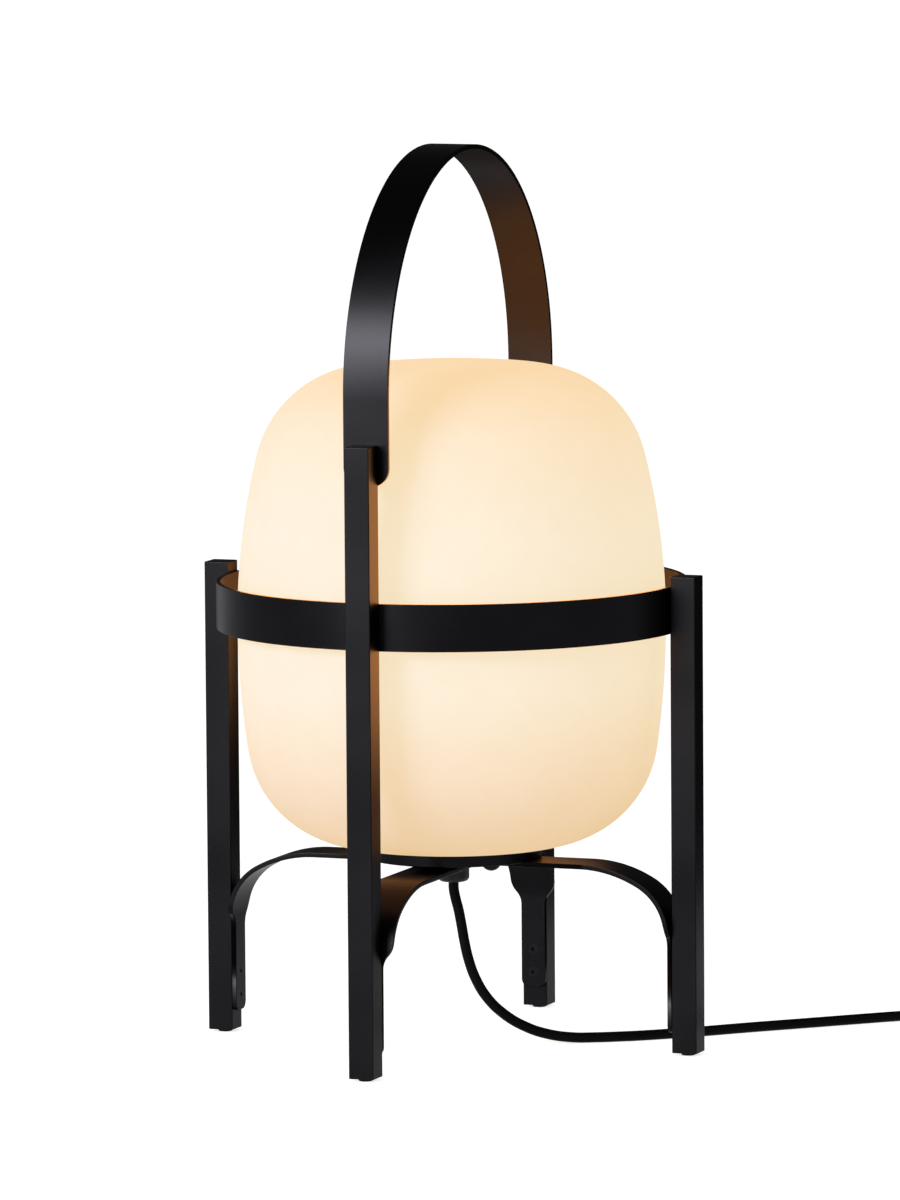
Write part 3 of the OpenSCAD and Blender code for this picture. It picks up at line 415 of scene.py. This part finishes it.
def countersinks(places):
    """A tool for screw holes through a strap: each place is the middle of a head, +Z the way in."""
    tool = bmesh.new()
    head, shank = screw_head_d / 2 + screw_fit, screw_d / 2 + screw_fit
    depth = (screw_head_d - screw_d) / 2
    for place in places:
        one = bmesh.new()
        turned(one, [(0, -depth), (head, -depth), (head, 0), (shank, depth), (shank, 2 * strap_t),
                     (0, 2 * strap_t)], 32)
        bmesh.ops.transform(one, matrix=place, verts=one.verts)
        mesh = bpy.data.meshes.new("screw_hole")
        one.to_mesh(mesh)
        one.free()
        tool.from_mesh(mesh)
        bpy.data.meshes.remove(mesh)
    return tool


def head_place(quarter, distance, z):
    """Where a screw's head lies on a strap's inner face, beside the post of that quarter."""
    return (Matrix.Rotation(quarter * math.pi / 2, 4, "Z") @ Matrix.Translation((distance, 0, z))
            @ Matrix.Rotation(math.pi / 2, 4, "Y"))


bm = bmesh.new()
leg = handle_centre.z - handle_low[2]
end = rectangle(bm, (handle_low[0], handle_r - strap_t, handle_low[2]),
                (handle_high[0], handle_r, handle_low[2]))
end = draw_out(bm, end, (0, 0, leg))
end = bend(bm, end, handle_centre, (1, 0, 0), math.pi, 120)
draw_out(bm, end, (0, 0, -leg))
round_corners(bm, handle_low[2], 1, handle_end_r)
soften(bm, strap_edge)
handle = add_piece("handle_bar", bm, powder_coat, "frame", "lamp", "handle_strap")
combine(handle, countersinks([head_place(quarter, handle_r - strap_t, z)
                              for quarter in (1, 3) for z in handle_screws]), "DIFFERENCE")

# ---------------------------------------------------------------- Belt ring
# The same flat bar, rolled to a ring that goes round the globe, welded shut and ground smooth.
# A countersunk screw from within holds it to each post.

belt_low, belt_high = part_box("belt_ring")
belt_r = belt_high[0]
belt_in = belt_r - strap_t

bm = bmesh.new()
turned(bm, [(belt_in, belt_low[2]), (belt_r, belt_low[2]), (belt_r, belt_high[2]), (belt_in, belt_high[2]),
            (belt_in, belt_low[2])], 192)
soften(bm, strap_edge)
belt = add_piece("belt_band", bm, powder_coat, "frame", "lamp", "belt_ring")
combine(belt, countersinks([head_place(quarter, belt_in, (belt_low[2] + belt_high[2]) / 2)
                            for quarter in range(4)]), "DIFFERENCE")

# ---------------------------------------------------------------- Crossing arches
# Two lengths of the flat bar, bent down at both ends and cut with shoulders to the width of
# the posts. They cross one above the other, and each end has two countersunk screws.

arch_wide_r = 80 * mm
arch_tight_r = 37 * mm
arch_split = math.radians(29.5)
arch_end_r = 5 * mm
arch_screws = (9.7 * mm, 24.5 * mm)
shoulder_top = 83 * mm
shoulder_bottom = 67 * mm
shoulder_steps = 4
tight_steps = 26
wide_steps = 14
strap_half = handle_high[0]
post_half = (post_high[0] - post_low[0]) / 2
inner_face = post_axis - post_half
arch_flat = inner_face - arch_tight_r - (arch_wide_r - arch_tight_r) * math.sin(arch_split)


def half_width(z):
    """Half the strap's width at a height: two equal arcs lead from the wide to the narrow part."""
    rise = shoulder_top - shoulder_bottom
    turn = 2 * math.atan2(strap_half - post_half, rise)
    r = rise / (2 * math.sin(turn))
    if z >= shoulder_top:
        return strap_half
    if z <= shoulder_bottom:
        return post_half
    if z < (shoulder_top + shoulder_bottom) / 2:
        return post_half + r - math.sqrt(r * r - (z - shoulder_bottom) ** 2)
    return strap_half - r + math.sqrt(r * r - (shoulder_top - z) ** 2)


def arch(node, quarter):
    """One arch, drawn out of its right end along X and then turned to its quarter."""
    low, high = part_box(node)
    foot, top = low[2], high[2]
    wide_z = top - arch_wide_r
    tight_z = wide_z + (arch_wide_r - arch_tight_r) * math.cos(arch_split)
    tight_x = inner_face - arch_tight_r
    up = Vector((0, 0, tight_z - shoulder_bottom)) / shoulder_steps
    bm = bmesh.new()
    end = rectangle(bm, (inner_face - strap_t, -strap_half, foot), (inner_face, strap_half, foot))
    end = draw_out(bm, end, (0, 0, shoulder_bottom - foot))
    for _ in range(shoulder_steps):
        end = draw_out(bm, end, up)
    end = bend(bm, end, (tight_x, 0, tight_z), (0, -1, 0), math.pi / 2 - arch_split, tight_steps)
    end = bend(bm, end, (arch_flat, 0, wide_z), (0, -1, 0), arch_split, wide_steps)
    end = draw_out(bm, end, (-2 * arch_flat, 0, 0))
    end = bend(bm, end, (-arch_flat, 0, wide_z), (0, -1, 0), arch_split, wide_steps)
    end = bend(bm, end, (-tight_x, 0, tight_z), (0, -1, 0), math.pi / 2 - arch_split, tight_steps)
    for _ in range(shoulder_steps):
        end = draw_out(bm, end, -up)
    draw_out(bm, end, (0, 0, foot - shoulder_bottom))
    for vert in bm.verts:
        vert.co.y = math.copysign(half_width(vert.co.z), vert.co.y)
    round_corners(bm, foot, 0, arch_end_r)
    soften(bm, strap_edge)
    bmesh.ops.rotate(bm, verts=bm.verts, matrix=Matrix.Rotation(quarter * math.pi / 2, 3, "Z"))
    piece = add_piece(node + "_bar", bm, powder_coat, "frame", "lamp", node)
    combine(piece, countersinks([head_place(side, inner_face - strap_t, foot + rise)
                                 for side in (quarter, quarter + 2) for rise in arch_screws]), "DIFFERENCE")


arch("arch_upper", 0)
arch("arch_lower", 1)

# ---------------------------------------------------------------- Frame screws
# Socket head screws of blackened steel, countersunk flush in the straps. The two domed ones
# under the crossing hold the dish.


def dress(material, *nodes):
    """Gives carried-over nodes their finish."""
    for node in nodes:
        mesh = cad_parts[node].data
        mesh.materials.clear()
        mesh.materials.append(material)


black_steel = grained("black_steel", (0.007, 0.007, 0.008), (0.011, 0.011, 0.012), 0.3, 0.4, 2500, 0.15,
                      Metallic=1, Specular_Tint=(0.62, 0.62, 0.63, 1))
dress(black_steel, "handle_screws", "belt_screws", "arch_screws", "dish_screws")

# ---------------------------------------------------------------- Dish
# A turned steel dish with a low rim, coated like the frame, in which the globe's neck stands
# on its gasket. Two screws with nuts and the central tube clamp it to the upper arch.

dish_low, dish_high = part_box("globe_dish")
dish_r = dish_high[0]
dish_rim = 2.4 * mm
dish_floor = dish_low[2] + 3 * mm
dish_hole_r = 5.05 * mm
dish_edge = 0.5 * mm

bm = bmesh.new()
turned(bm, [(dish_hole_r, dish_low[2]), (dish_r, dish_low[2]), (dish_r, dish_high[2]),
            (dish_r - dish_rim, dish_high[2]), (dish_r - dish_rim, dish_floor), (dish_hole_r, dish_floor),
            (dish_hole_r, dish_low[2])], 128)
soften(bm, dish_edge, 3)
add_piece("dish_turned", bm, powder_coat, "frame", "lamp", "globe_dish")

# ---------------------------------------------------------------- Tube, nuts and springs
# Zinc plated steel: a threaded tube clamps gland, arches and dish with its lock nut, and
# three riveted leaf springs centre the globe's neck over a black gasket.

line_depth = 0.05 * mm


def brushed_grain():
    """Fine lines round the Z axis, as turning or drawing leaves them, in colour and roughness."""
    group, given, out = finish_group("brushed_grain")
    nodes, links = group.nodes, group.links
    where, stretch = nodes.new("ShaderNodeTexCoord"), nodes.new("ShaderNodeMapping")
    stretch.inputs["Scale"].default_value = (0.08, 0.08, 1)
    lines = nodes.new("ShaderNodeTexNoise")
    lines.inputs["Detail"].default_value = 4
    links.new(where.outputs["Object"], stretch.inputs["Vector"])
    links.new(stretch.outputs["Vector"], lines.inputs["Vector"])
    links.new(given.outputs["Fineness"], lines.inputs["Scale"])
    lay_finish(group, given, out, lines.outputs["Fac"], lines.outputs["Fac"], line_depth)
    return group


brushed = brushed_grain()
zinc = grained("zinc_plate", (0.42, 0.43, 0.46), (0.66, 0.67, 0.68), 0.22, 0.4, 1800, 0.2, brushed,
               Metallic=1)
dress(zinc, "dish_nuts", "neck_springs", "spring_rivets", "threaded_tube", "lock_nut", "switch_screws")
dress(rubber, "neck_gasket")

# ---------------------------------------------------------------- Lamp holder
# A moulded black cap and sleeve round a white ceramic core. The core carries the threaded
# brass shell, the centre contact and two terminal screws, and the two wires end there.

moulded = grained("moulded_black", (0.005, 0.005, 0.005), (0.009, 0.009, 0.009), 0.38, 0.52, 1300, 0.35,
                  Specular_IOR_Level=0.2)
brass = grained("brass", (0.62, 0.42, 0.16), (0.8, 0.6, 0.28), 0.2, 0.36, 1500, 0.2, brushed, Metallic=1)
ceramic = grained("unglazed_ceramic", (0.74, 0.72, 0.66), (0.86, 0.84, 0.79), 0.5, 0.68, 700, 0.4)
dress(moulded, "holder_cap", "holder_sleeve")
dress(brass, "socket_shell", "centre_contact", "terminal_screws", "switch_contacts")
dress(ceramic, "holder_core")

wire_cover = grained("wire_cover", (0.1, 0.035, 0.015), (0.14, 0.05, 0.02), 0.35, 0.45, 900, 0.1)
nodes, links = wire_cover.node_tree.nodes, wire_cover.node_tree.links
brown = nodes["Group"].outputs["Color"]
blue = (0.02, 0.07, 0.28, 1)
where, parts = nodes.new("ShaderNodeTexCoord"), nodes.new("ShaderNodeSeparateXYZ")
right_wire, either = nodes.new("ShaderNodeMath"), nodes.new("ShaderNodeMix")
right_wire.operation = "GREATER_THAN"
right_wire.inputs[1].default_value = 0
either.data_type = "RGBA"
either.inputs["B"].default_value = blue
links.new(where.outputs["Object"], parts.inputs["Vector"])
links.new(parts.outputs["X"], right_wire.inputs[0])
links.new(right_wire.outputs[0], either.inputs["Factor"])
links.new(brown, either.inputs["A"])
links.new(either.outputs["Result"], nodes["Principled BSDF"].inputs["Base Color"])
dress(wire_cover, "core_wires")

# ---------------------------------------------------------------- Bulb
# A clear blown bulb on a nickel plated screw cap, with a black glass insulator, a soldered
# tip, and four coated filaments round a glass stem. It glows warm.

nickel = grained("nickel_plate", (0.6, 0.58, 0.54), (0.78, 0.76, 0.72), 0.12, 0.24, 1600, 0.1, brushed,
                 Metallic=1)
black_glass = grained("black_glass", (0.008, 0.008, 0.009), (0.014, 0.014, 0.015), 0.05, 0.12, 500, 0.05)
clear_glass = grained("clear_glass", (0.96, 0.97, 0.97), (1, 1, 1), 0.0, 0.04, 120, 0.05,
                      Transmission_Weight=1, IOR=1.45)
phosphor = grained("phosphor", (0.9, 0.62, 0.2), (1, 0.75, 0.32), 0.6, 0.8, 4000, 0.3,
                   Emission_Color=(1, 0.72, 0.36, 1), Emission_Strength=4)
dress(nickel, "bulb_cap", "bulb_contact", "plug_pins")
dress(black_glass, "bulb_insulator")
dress(clear_glass, "bulb_stem")
dress(phosphor, "bulb_filaments")

bulb_low, bulb_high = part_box("bulb_glass")
bulb_r = bulb_high[0]
bulb_neck_r = 12.3 * mm
bulb_neck_rise = 8 * mm
bulb_centre = bulb_high[2] - bulb_r
bulb_wall = 1 * mm
cap_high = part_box("bulb_cap")[1][2]


def arc_from(bm, vert, centre, angle, steps):
    """Draws a vertex round a centre in the XZ plane, X towards Z, and gives the last vertex."""
    made = bmesh.ops.spin(bm, geom=[vert], cent=(centre[0], 0, centre[1]), axis=(0, -1, 0), angle=angle,
                          steps=steps)
    return next(v for v in made["geom_last"] if isinstance(v, bmesh.types.BMVert))


def line_from(bm, vert, to):
    """Draws a vertex straight to a place in the XZ plane and gives the new vertex."""
    new = bm.verts.new((to[0], 0, to[1]))
    bm.edges.new((vert, new))
    return new


def turn_outline(bm, steps):
    """Turns the outline that has been drawn in the XZ plane once round the Z axis, and closes it."""
    bmesh.ops.spin(bm, geom=[*bm.verts, *bm.edges], axis=(0, 0, 1), angle=ALL_ROUND, steps=steps,
                   use_merge=True)
    bmesh.ops.remove_doubles(bm, verts=bm.verts, dist=same_place)


drop = bulb_centre - cap_high - bulb_neck_rise
taper = math.asin(bulb_r / math.hypot(drop, bulb_neck_r)) - math.atan2(bulb_neck_r, drop)
bm = bmesh.new()
vert = bm.verts.new((bulb_neck_r, 0, bulb_low[2]))
neck_end = bulb_centre - (bulb_r - bulb_neck_r * math.cos(taper)) / math.sin(taper)
vert = line_from(bm, vert, (bulb_neck_r, neck_end))
vert = line_from(bm, vert, (bulb_r * math.cos(taper), bulb_centre - bulb_r * math.sin(taper)))
vert = arc_from(bm, vert, (0, bulb_centre), math.pi / 2 + taper, 28)
vert.co.x = 0
turn_outline(bm, 64)
bulb = add_piece("bulb_blown", bm, clear_glass, "bulb_glass", "bulb", "bulb_glass")
wall = bulb.modifiers.new("wall", "SOLIDIFY")
wall.thickness = bulb_wall
wall.offset = -1

# ---------------------------------------------------------------- Globe
# Opal glass, blown in one piece and etched matt: a crown, soft shoulders, nearly straight
# sides and a short neck. It is lit from within, palest round the bulb and warmer at both
# ends. Glossy rays see its glow many times stronger than the camera does, weaker over the
# lower part: a painted reflection, so that the black coat mirrors it like a bright lamp.

globe_low, globe_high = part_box("globe_shade")
globe_r = globe_high[0]
globe_widest = 265.2 * mm
upper_side_r = 425 * mm
upper_shoulder_r = 72 * mm
crown_r = 554 * mm
lower_side_r = 548 * mm
lower_shoulder_r = 69.5 * mm
under_r = 525 * mm
under_drop = 143.3 * mm
neck_r = 50 * mm
glass_t = 4 * mm
glow_by_height = (
    (124 * mm, (0.77, 0.52, 0.225)), (158 * mm, (0.81, 0.575, 0.3)), (195 * mm, (0.855, 0.645, 0.36)),
    (230 * mm, (0.875, 0.72, 0.465)), (325 * mm, (0.875, 0.725, 0.475)), (388 * mm, (0.88, 0.675, 0.375)),
    (426 * mm, (0.9, 0.61, 0.27)))
# Painted reflection: how much stronger the glow is for glossy rays than for the camera.
painted_reflection_glow = (9.5, 3.8, 1.05)


def touching_within(c1, r1, c3, r3):
    """The middle of the circle that touches two circles from the inside."""
    apart = c3 - c1
    d = apart.length
    along = (d * d + r1 * r1 - r3 * r3) / (2 * d)
    across = Vector((-apart.y, apart.x)) / d
    return c1 + apart * along / d + across * math.sqrt(r1 * r1 - along * along)


def globe_half(bm, vert, way, rise, side, shoulder, crown, end_r):
    """Draws half the outline from the widest place, up or down, to the radius where it ends."""
    c1, c3 = Vector((globe_r - side, 0)), Vector((0, rise - crown))
    c2 = touching_within(c1, side - shoulder, c3, crown - shoulder)
    low = math.atan2((c2 - c1).y, (c2 - c1).x)
    high = math.atan2((c2 - c3).y, (c2 - c3).x)
    last = math.acos(end_r / crown)
    for centre, angle, steps in ((c1, low, 12), (c2, high - low, 26), (c3, last - high, 18)):
        vert = arc_from(bm, vert, (centre.x, globe_widest + way * centre.y), way * angle, steps)
    return vert


bm = bmesh.new()
widest = bm.verts.new((globe_r, 0, globe_widest))
top = globe_half(bm, widest, 1, globe_high[2] - globe_widest, upper_side_r, upper_shoulder_r, crown_r, 0)
top.co.x = 0
neck = globe_half(bm, widest, -1, under_drop, lower_side_r, lower_shoulder_r, under_r, neck_r)
line_from(bm, neck, (neck_r, globe_low[2]))
turn_outline(bm, 160)

opal_glass = grained("opal_glass", (0.17, 0.21, 0.33), (0.195, 0.24, 0.37), 0.42, 0.5, 60, 0.02,
                     Specular_IOR_Level=0, Emission_Strength=1)
nodes, links = opal_glass.node_tree.nodes, opal_glass.node_tree.links
where, parts = nodes.new("ShaderNodeTexCoord"), nodes.new("ShaderNodeSeparateXYZ")
links.new(where.outputs["Object"], parts.inputs["Vector"])
height = nodes.new("ShaderNodeMapRange")
height.inputs["From Min"].default_value = globe_low[2]
height.inputs["From Max"].default_value = globe_high[2]
links.new(parts.outputs["Z"], height.inputs["Value"])
glow = nodes.new("ShaderNodeValToRGB")
glow.color_ramp.interpolation = "B_SPLINE"
glow.color_ramp.elements[0].color = (*glow_by_height[0][1], 1)
glow.color_ramp.elements[1].color = (*glow_by_height[-1][1], 1)
for z, colour in glow_by_height[1:-1]:
    stop = glow.color_ramp.elements.new((z - globe_low[2]) / (globe_high[2] - globe_low[2]))
    stop.color = (*colour, 1)
links.new(height.outputs["Result"], glow.inputs["Fac"])
strength = nodes.new("ShaderNodeMapRange")
strength.interpolation_type = "SMOOTHSTEP"
strength.inputs["From Min"].default_value = 0.12
strength.inputs["From Max"].default_value = 0.45
strength.inputs["To Min"].default_value = 0.16
links.new(height.outputs["Result"], strength.inputs["Value"])
full = nodes.new("ShaderNodeVectorMath")
full.operation = "SCALE"
full.inputs[0].default_value = painted_reflection_glow
links.new(strength.outputs["Result"], full.inputs["Scale"])
# Glossy rays get the stronger glow, a painted reflection in the black coat; all other rays get the plain
# glow.
path, painted_reflection_mix = nodes.new("ShaderNodeLightPath"), nodes.new("ShaderNodeMix")
painted_reflection_mix.data_type = "RGBA"
painted_reflection_mix.clamp_result = False
links.new(path.outputs["Is Glossy Ray"], painted_reflection_mix.inputs["Factor"])
links.new(glow.outputs["Color"], painted_reflection_mix.inputs["A"])
links.new(full.outputs["Vector"], painted_reflection_mix.inputs["B"])
links.new(painted_reflection_mix.outputs["Result"], nodes["Principled BSDF"].inputs["Emission Color"])

globe = add_piece("globe_blown", bm, opal_glass, "opal_glass", "globe", "globe_shade", smooth_under=60)
wall = globe.modifiers.new("wall", "SOLIDIFY")
wall.thickness = glass_t
wall.offset = -1

# ---------------------------------------------------------------- Gland
# A moulded black cord gland, round at its lower edge, screwed on the lower end of the central
# tube. It clamps the cord where it leaves the lamp, straight down.

gland_low, gland_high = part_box("cord_gland")
gland_r = gland_high[0]
gland_edge = 3 * mm
gland_dip = 0.02 * mm
cord_r = 3.2 * mm
dip_r = cord_r - 0.4 * mm
mouth_r = cord_r + 0.5 * mm
bm = bmesh.new()
turned(bm, [(0, gland_low[2] + gland_dip), (dip_r, gland_low[2] + gland_dip), (mouth_r, gland_low[2]),
            *[(gland_r - gland_edge * (1 - math.sin(a)), gland_low[2] + gland_edge * (1 - math.cos(a)))
              for a in (math.radians(9 * i) for i in range(11))],
            (gland_r, gland_high[2]), (0, gland_high[2])], 96)
add_piece("gland_moulded", bm, moulded, "gland", "lamp", "cord_gland")

# ---------------------------------------------------------------- Cord
# One round black mains cord: straight down out of the gland, then over the table to the
# switch, and on from there in a coil under its tie to the plug.

sheath = grained("cord_sheath", (0.0015, 0.0015, 0.0016), (0.003, 0.003, 0.0032), 0.4, 0.52, 1100, 0.3,
                 Specular_IOR_Level=0.04)


def cord_curve(name, route, nodes):
    """A smooth round cord through the route's points."""
    curve = bpy.data.curves.new(name, "CURVE")
    curve.dimensions = "3D"
    curve.bevel_depth = cord_r
    curve.bevel_resolution = 5
    curve.resolution_u = 6
    curve.use_fill_caps = True
    spline = curve.splines.new("BEZIER")
    spline.bezier_points.add(len(route) - 1)
    for point, place in zip(spline.bezier_points, route):
        point.co = place
        point.handle_left_type = point.handle_right_type = "AUTO"
    curve.materials.append(sheath)
    piece = bpy.data.objects.new(name, curve)
    bpy.context.collection.objects.link(piece)
    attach(piece, "lamp")
    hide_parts(*nodes)
    return piece


lead_mm = (
    (0, 0, 101.6), (0, 0, 97.1), (1.2, 0.2, 90.5), (2.9, 0.4, 84), (4.6, 0.7, 75), (6.4, 0.9, 64.5),
    (9.2, 1.4, 52), (13.6, 2.2, 40), (20.5, 3.7, 28.5), (30.5, 6.1, 18.6), (43, 9.8, 10.8), (56, 14.6, 6),
    (70, 20.8, 3.6), (84, 28, 3.2), (97, 35.6, 3.2), (110, 44.8, 3.2), (124, 57, 3.2), (139, 71.2, 3.2),
    (155, 87.8, 3.2), (171, 103.8, 3.2), (187, 119.2, 3.2), (203, 134.8, 3.2), (219, 150.4, 3.2),
    (235, 165.6, 3.2), (250, 178, 3.2), (262, 184.5, 3.2), (275.5, 186.3, 3.2), (289, 182.8, 3.2),
    (300, 174.5, 3.2), (306.6, 163.3, 3.4), (309, 151, 4.5), (309, 142.5, 6.8), (309, 135, 8), (309, 128, 8))
lead = cord_curve("cord_to_switch", [Vector(p) * mm for p in lead_mm], ["cord_lead"])

coil_at = Vector((354, 22, 0)) * mm
coil_r = 45 * mm
coil_step = 6.9 * mm
coil_layer = 6.9 * mm
coil_low = 4.3 * mm
coil_turns = 2.75
turn_points = 24
link_mm = ((309, 66, 8), (309, 59.5, 7.9), (309, 50, 6.3), (309, 41, 4.9), (309, 34.8, 4.3), (309, 28.4, 4.3))
tail_mm = (
    (399, 28.4, 11.2), (399, 34.5, 10.9), (398.6, 41, 9.5), (397.8, 50, 6.8), (396.6, 59, 4.4),
    (395.3, 68, 3.3), (393.8, 77, 3.5), (392.2, 86, 4.7), (390.6, 95, 6.3), (389.2, 103.1, 7), (388, 110, 7))


def on_coil(turns):
    """The cord's middle in the coil: in along the lower layer, up a layer, and out again."""
    r = coil_r - coil_step * min(turns, 2 * coil_turns - turns)
    climbed = min(1, max(0, 2 * (turns - coil_turns) + 0.5))
    a = math.pi + ALL_ROUND * turns
    return coil_at + Vector((r * math.cos(a), r * math.sin(a),
                             coil_low + coil_layer * (1 - math.cos(math.pi * climbed)) / 2))


coil_route = [on_coil(i / turn_points) for i in range(int(2 * coil_turns * turn_points) + 1)]
rest_route = [Vector(p) * mm for p in link_mm] + coil_route + [Vector(p) * mm for p in tail_mm]
rest = cord_curve("cord_to_plug", rest_route, ["cord_link", "cord_coil", "cord_tail"])

# ---------------------------------------------------------------- Tie
# A soft rubber band closed round all turns of the coil, flat where it lies on the table.

tie_low, tie_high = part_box("coil_tie")
tie_t = 0.8 * mm
tie_corner = 2 * mm


def edges_along(bm, axis):
    """The edges of a block that run along an axis."""
    return [edge for edge in bm.edges if abs(edge.verts[0].co[axis] - edge.verts[1].co[axis]) > mm]


bm = bmesh.new()
block(bm, tie_low, tie_high)
ends = [face for face in bm.faces if abs(face.normal.x) > 0.5]
bmesh.ops.delete(bm, geom=ends, context="FACES_ONLY")
round_edges(bm, edges_along(bm, 0), tie_corner, 6)
tie = add_piece("tie_band", bm, rubber, "tie", "lamp", "coil_tie")
wall = tie.modifiers.new("wall", "SOLIDIFY")
wall.thickness = tie_t
wall.offset = -1

# ---------------------------------------------------------------- Cord switch
# A moulded two-part case with rounded corners, the cover screwed on from below, and a rocker
# of glossier plastic in its window.

base_low, base_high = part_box("switch_base")
cover_low, cover_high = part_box("switch_cover")
case_r = 9 * mm
case_wall = 2 * mm
rocker_axis = Vector((309, 97, 11.5)) * mm
rocker_size = Vector((11, 20)) * mm
rocker_gap = 0.4 * mm
rocker_play = 0.6 * mm
rocker_proud = 0.2 * mm
keel_in = 3.4 * mm
keel_z = -2.5 * mm
flank_in = 0.2 * mm
flank_z = 1.5 * mm
rocker_drop = 0.15 * mm
rocker_edge = 0.5 * mm
base_edge = 0.6 * mm
cover_edge = 1.2 * mm


def rounded_block(bm, low, high, r, segments=8):
    """A block with its upright edges rounded."""
    block(bm, low, high)
    round_edges(bm, edges_along(bm, 2), r, segments)


def case_part(name, low, high, inner_low, inner_high, node, edge):
    """A shell of the case: the block, its outer edges broken, hollowed from its open side."""
    bm = bmesh.new()
    rounded_block(bm, low, high, case_r)
    soften(bm, edge, 3)
    piece = add_piece(name, bm, moulded, "switch", "lamp", node)
    room = bmesh.new()
    rounded_block(room, inner_low, inner_high, case_r - case_wall)
    combine(piece, room, "DIFFERENCE")
    return piece


inset = Vector((case_wall, case_wall, 0))
split = cover_low[2]
base_top = Vector((base_high[0], base_high[1], split))
wall_up = Vector((0, 0, case_wall))
case_part("switch_case_base", Vector(base_low), base_top, Vector(base_low) + inset + wall_up,
          base_top - inset + wall_up, "switch_base", base_edge)
cover = case_part("switch_case_cover", Vector(cover_low), Vector(cover_high),
                  Vector(cover_low) + inset - wall_up, Vector(cover_high) - inset - wall_up,
                  "switch_cover", cover_edge)
window = bmesh.new()
reach = Vector((rocker_size.x / 2 + rocker_gap, rocker_size.y / 2 + rocker_gap, 3 * case_wall))
middle = Vector((rocker_axis.x, rocker_axis.y, cover_high[2]))
block(window, middle - reach, middle + reach)
combine(cover, window, "DIFFERENCE")

gloss = grained("rocker_plastic", (0.02, 0.02, 0.02), (0.028, 0.028, 0.028), 0.2, 0.3, 1500, 0.08)
half_tilt = math.radians(7)
rocker_reach = rocker_size.y / 2 - rocker_play
rocker_top = cover_high[2] + rocker_proud - rocker_axis.z
rocker_tip = rocker_top + rocker_reach * math.tan(half_tilt) - rocker_drop
bm = bmesh.new()
half_view = ((rocker_reach - keel_in, keel_z), (rocker_reach - flank_in, flank_z), (rocker_reach, rocker_tip))
side_view = ((0, keel_z), *half_view, (0, rocker_top), *[(-y, z) for y, z in reversed(half_view)])
face = bm.faces.new([bm.verts.new((-rocker_size.x / 2, y, z)) for y, z in side_view])
draw_out(bm, face, (rocker_size.x, 0, 0))
soften(bm, rocker_edge, 3, 20)
bmesh.ops.transform(bm, verts=bm.verts,
                    matrix=Matrix.Translation(rocker_axis) @ Matrix.Rotation(half_tilt, 4, "X"))
add_piece("switch_rocker_cap", bm, gloss, "rocker", "rocker", "switch_rocker")

# ---------------------------------------------------------------- Plug
# A flat moulded plug with two round pins, each with an insulating sleeve at its root, and a
# ribbed strain relief moulded on the cord.

plug_at = Vector((388, 110, 7)) * mm
plug_heading = math.radians(100)
plug_turn = Matrix.Translation(plug_at) @ Matrix.Rotation(plug_heading, 4, "Z")
relief_len = 24 * mm
relief_r = (4.1 * mm, 5.8 * mm)
plug_len = 34 * mm
plug_half = 17.75 * mm
plug_t = 14 * mm
plug_neck = 8 * mm
plug_slope = 12 * mm
plug_round = 6 * mm
plug_corner = 2 * mm
plug_edge = 0.7 * mm
past_face = 5 * mm
ribs = 7
rib_depth = 0.7 * mm

bm = bmesh.new()
outline = [(0, 0), (relief_r[0], 0)]
for i in range(ribs):
    for share, depth in ((0.35, 0), (0.42, rib_depth), (0.78, rib_depth), (0.85, 0)):
        x = (i + share) / ribs
        outline.append((relief_r[0] + (relief_r[1] - relief_r[0]) * x - depth, relief_len * x))
outline += [(relief_r[1], relief_len), (0, relief_len)]
turned(bm, outline, 48)
bmesh.ops.transform(bm, verts=bm.verts, matrix=plug_turn @ Matrix.Rotation(math.pi / 2, 4, "Y"))
relief = add_piece("plug_strain_relief", bm, rubber, "plug", "lamp", "plug_relief")

bm = bmesh.new()
face_x = relief_len + plug_len
half_plan = ((relief_len, plug_neck), (relief_len + plug_slope, plug_half), (face_x - plug_corner, plug_half),
             (face_x, plug_half - plug_corner))
plan = [(x, -y) for x, y in half_plan] + list(reversed(half_plan))
face = bm.faces.new([bm.verts.new((x, y, -plug_t / 2)) for x, y in plan])
draw_out(bm, face, (0, 0, plug_t))
bmesh.ops.transform(bm, verts=bm.verts, matrix=plug_turn)
plug = add_piece("plug_moulded", bm, moulded, "plug", "lamp", "plug_body")
section = bmesh.new()
block(section, (0, -plug_half, -plug_t / 2), (face_x + past_face, plug_half, plug_t / 2))
round_edges(section, edges_along(section, 0), plug_round, 10)
bmesh.ops.transform(section, verts=section.verts, matrix=plug_turn)
combine(plug, section, "INTERSECT")
edges = plug.modifiers.new("edges", "BEVEL")
edges.width = plug_edge
edges.segments = 3
edges.limit_method = "ANGLE"
edges.angle_limit = math.radians(28)
dress(moulded, "pin_sleeves")

# ---------------------------------------------------------------- Flat faces
# Sawn bar, flat strap and mouldings have flat faces between their broken edges. The shading
# follows the large faces, so that only the narrow edges look round.

for piece in pieces:
    flat = piece.modifiers.new("flat_faces", "WEIGHTED_NORMAL")
    flat.weight = 100
    flat.keep_sharp = True
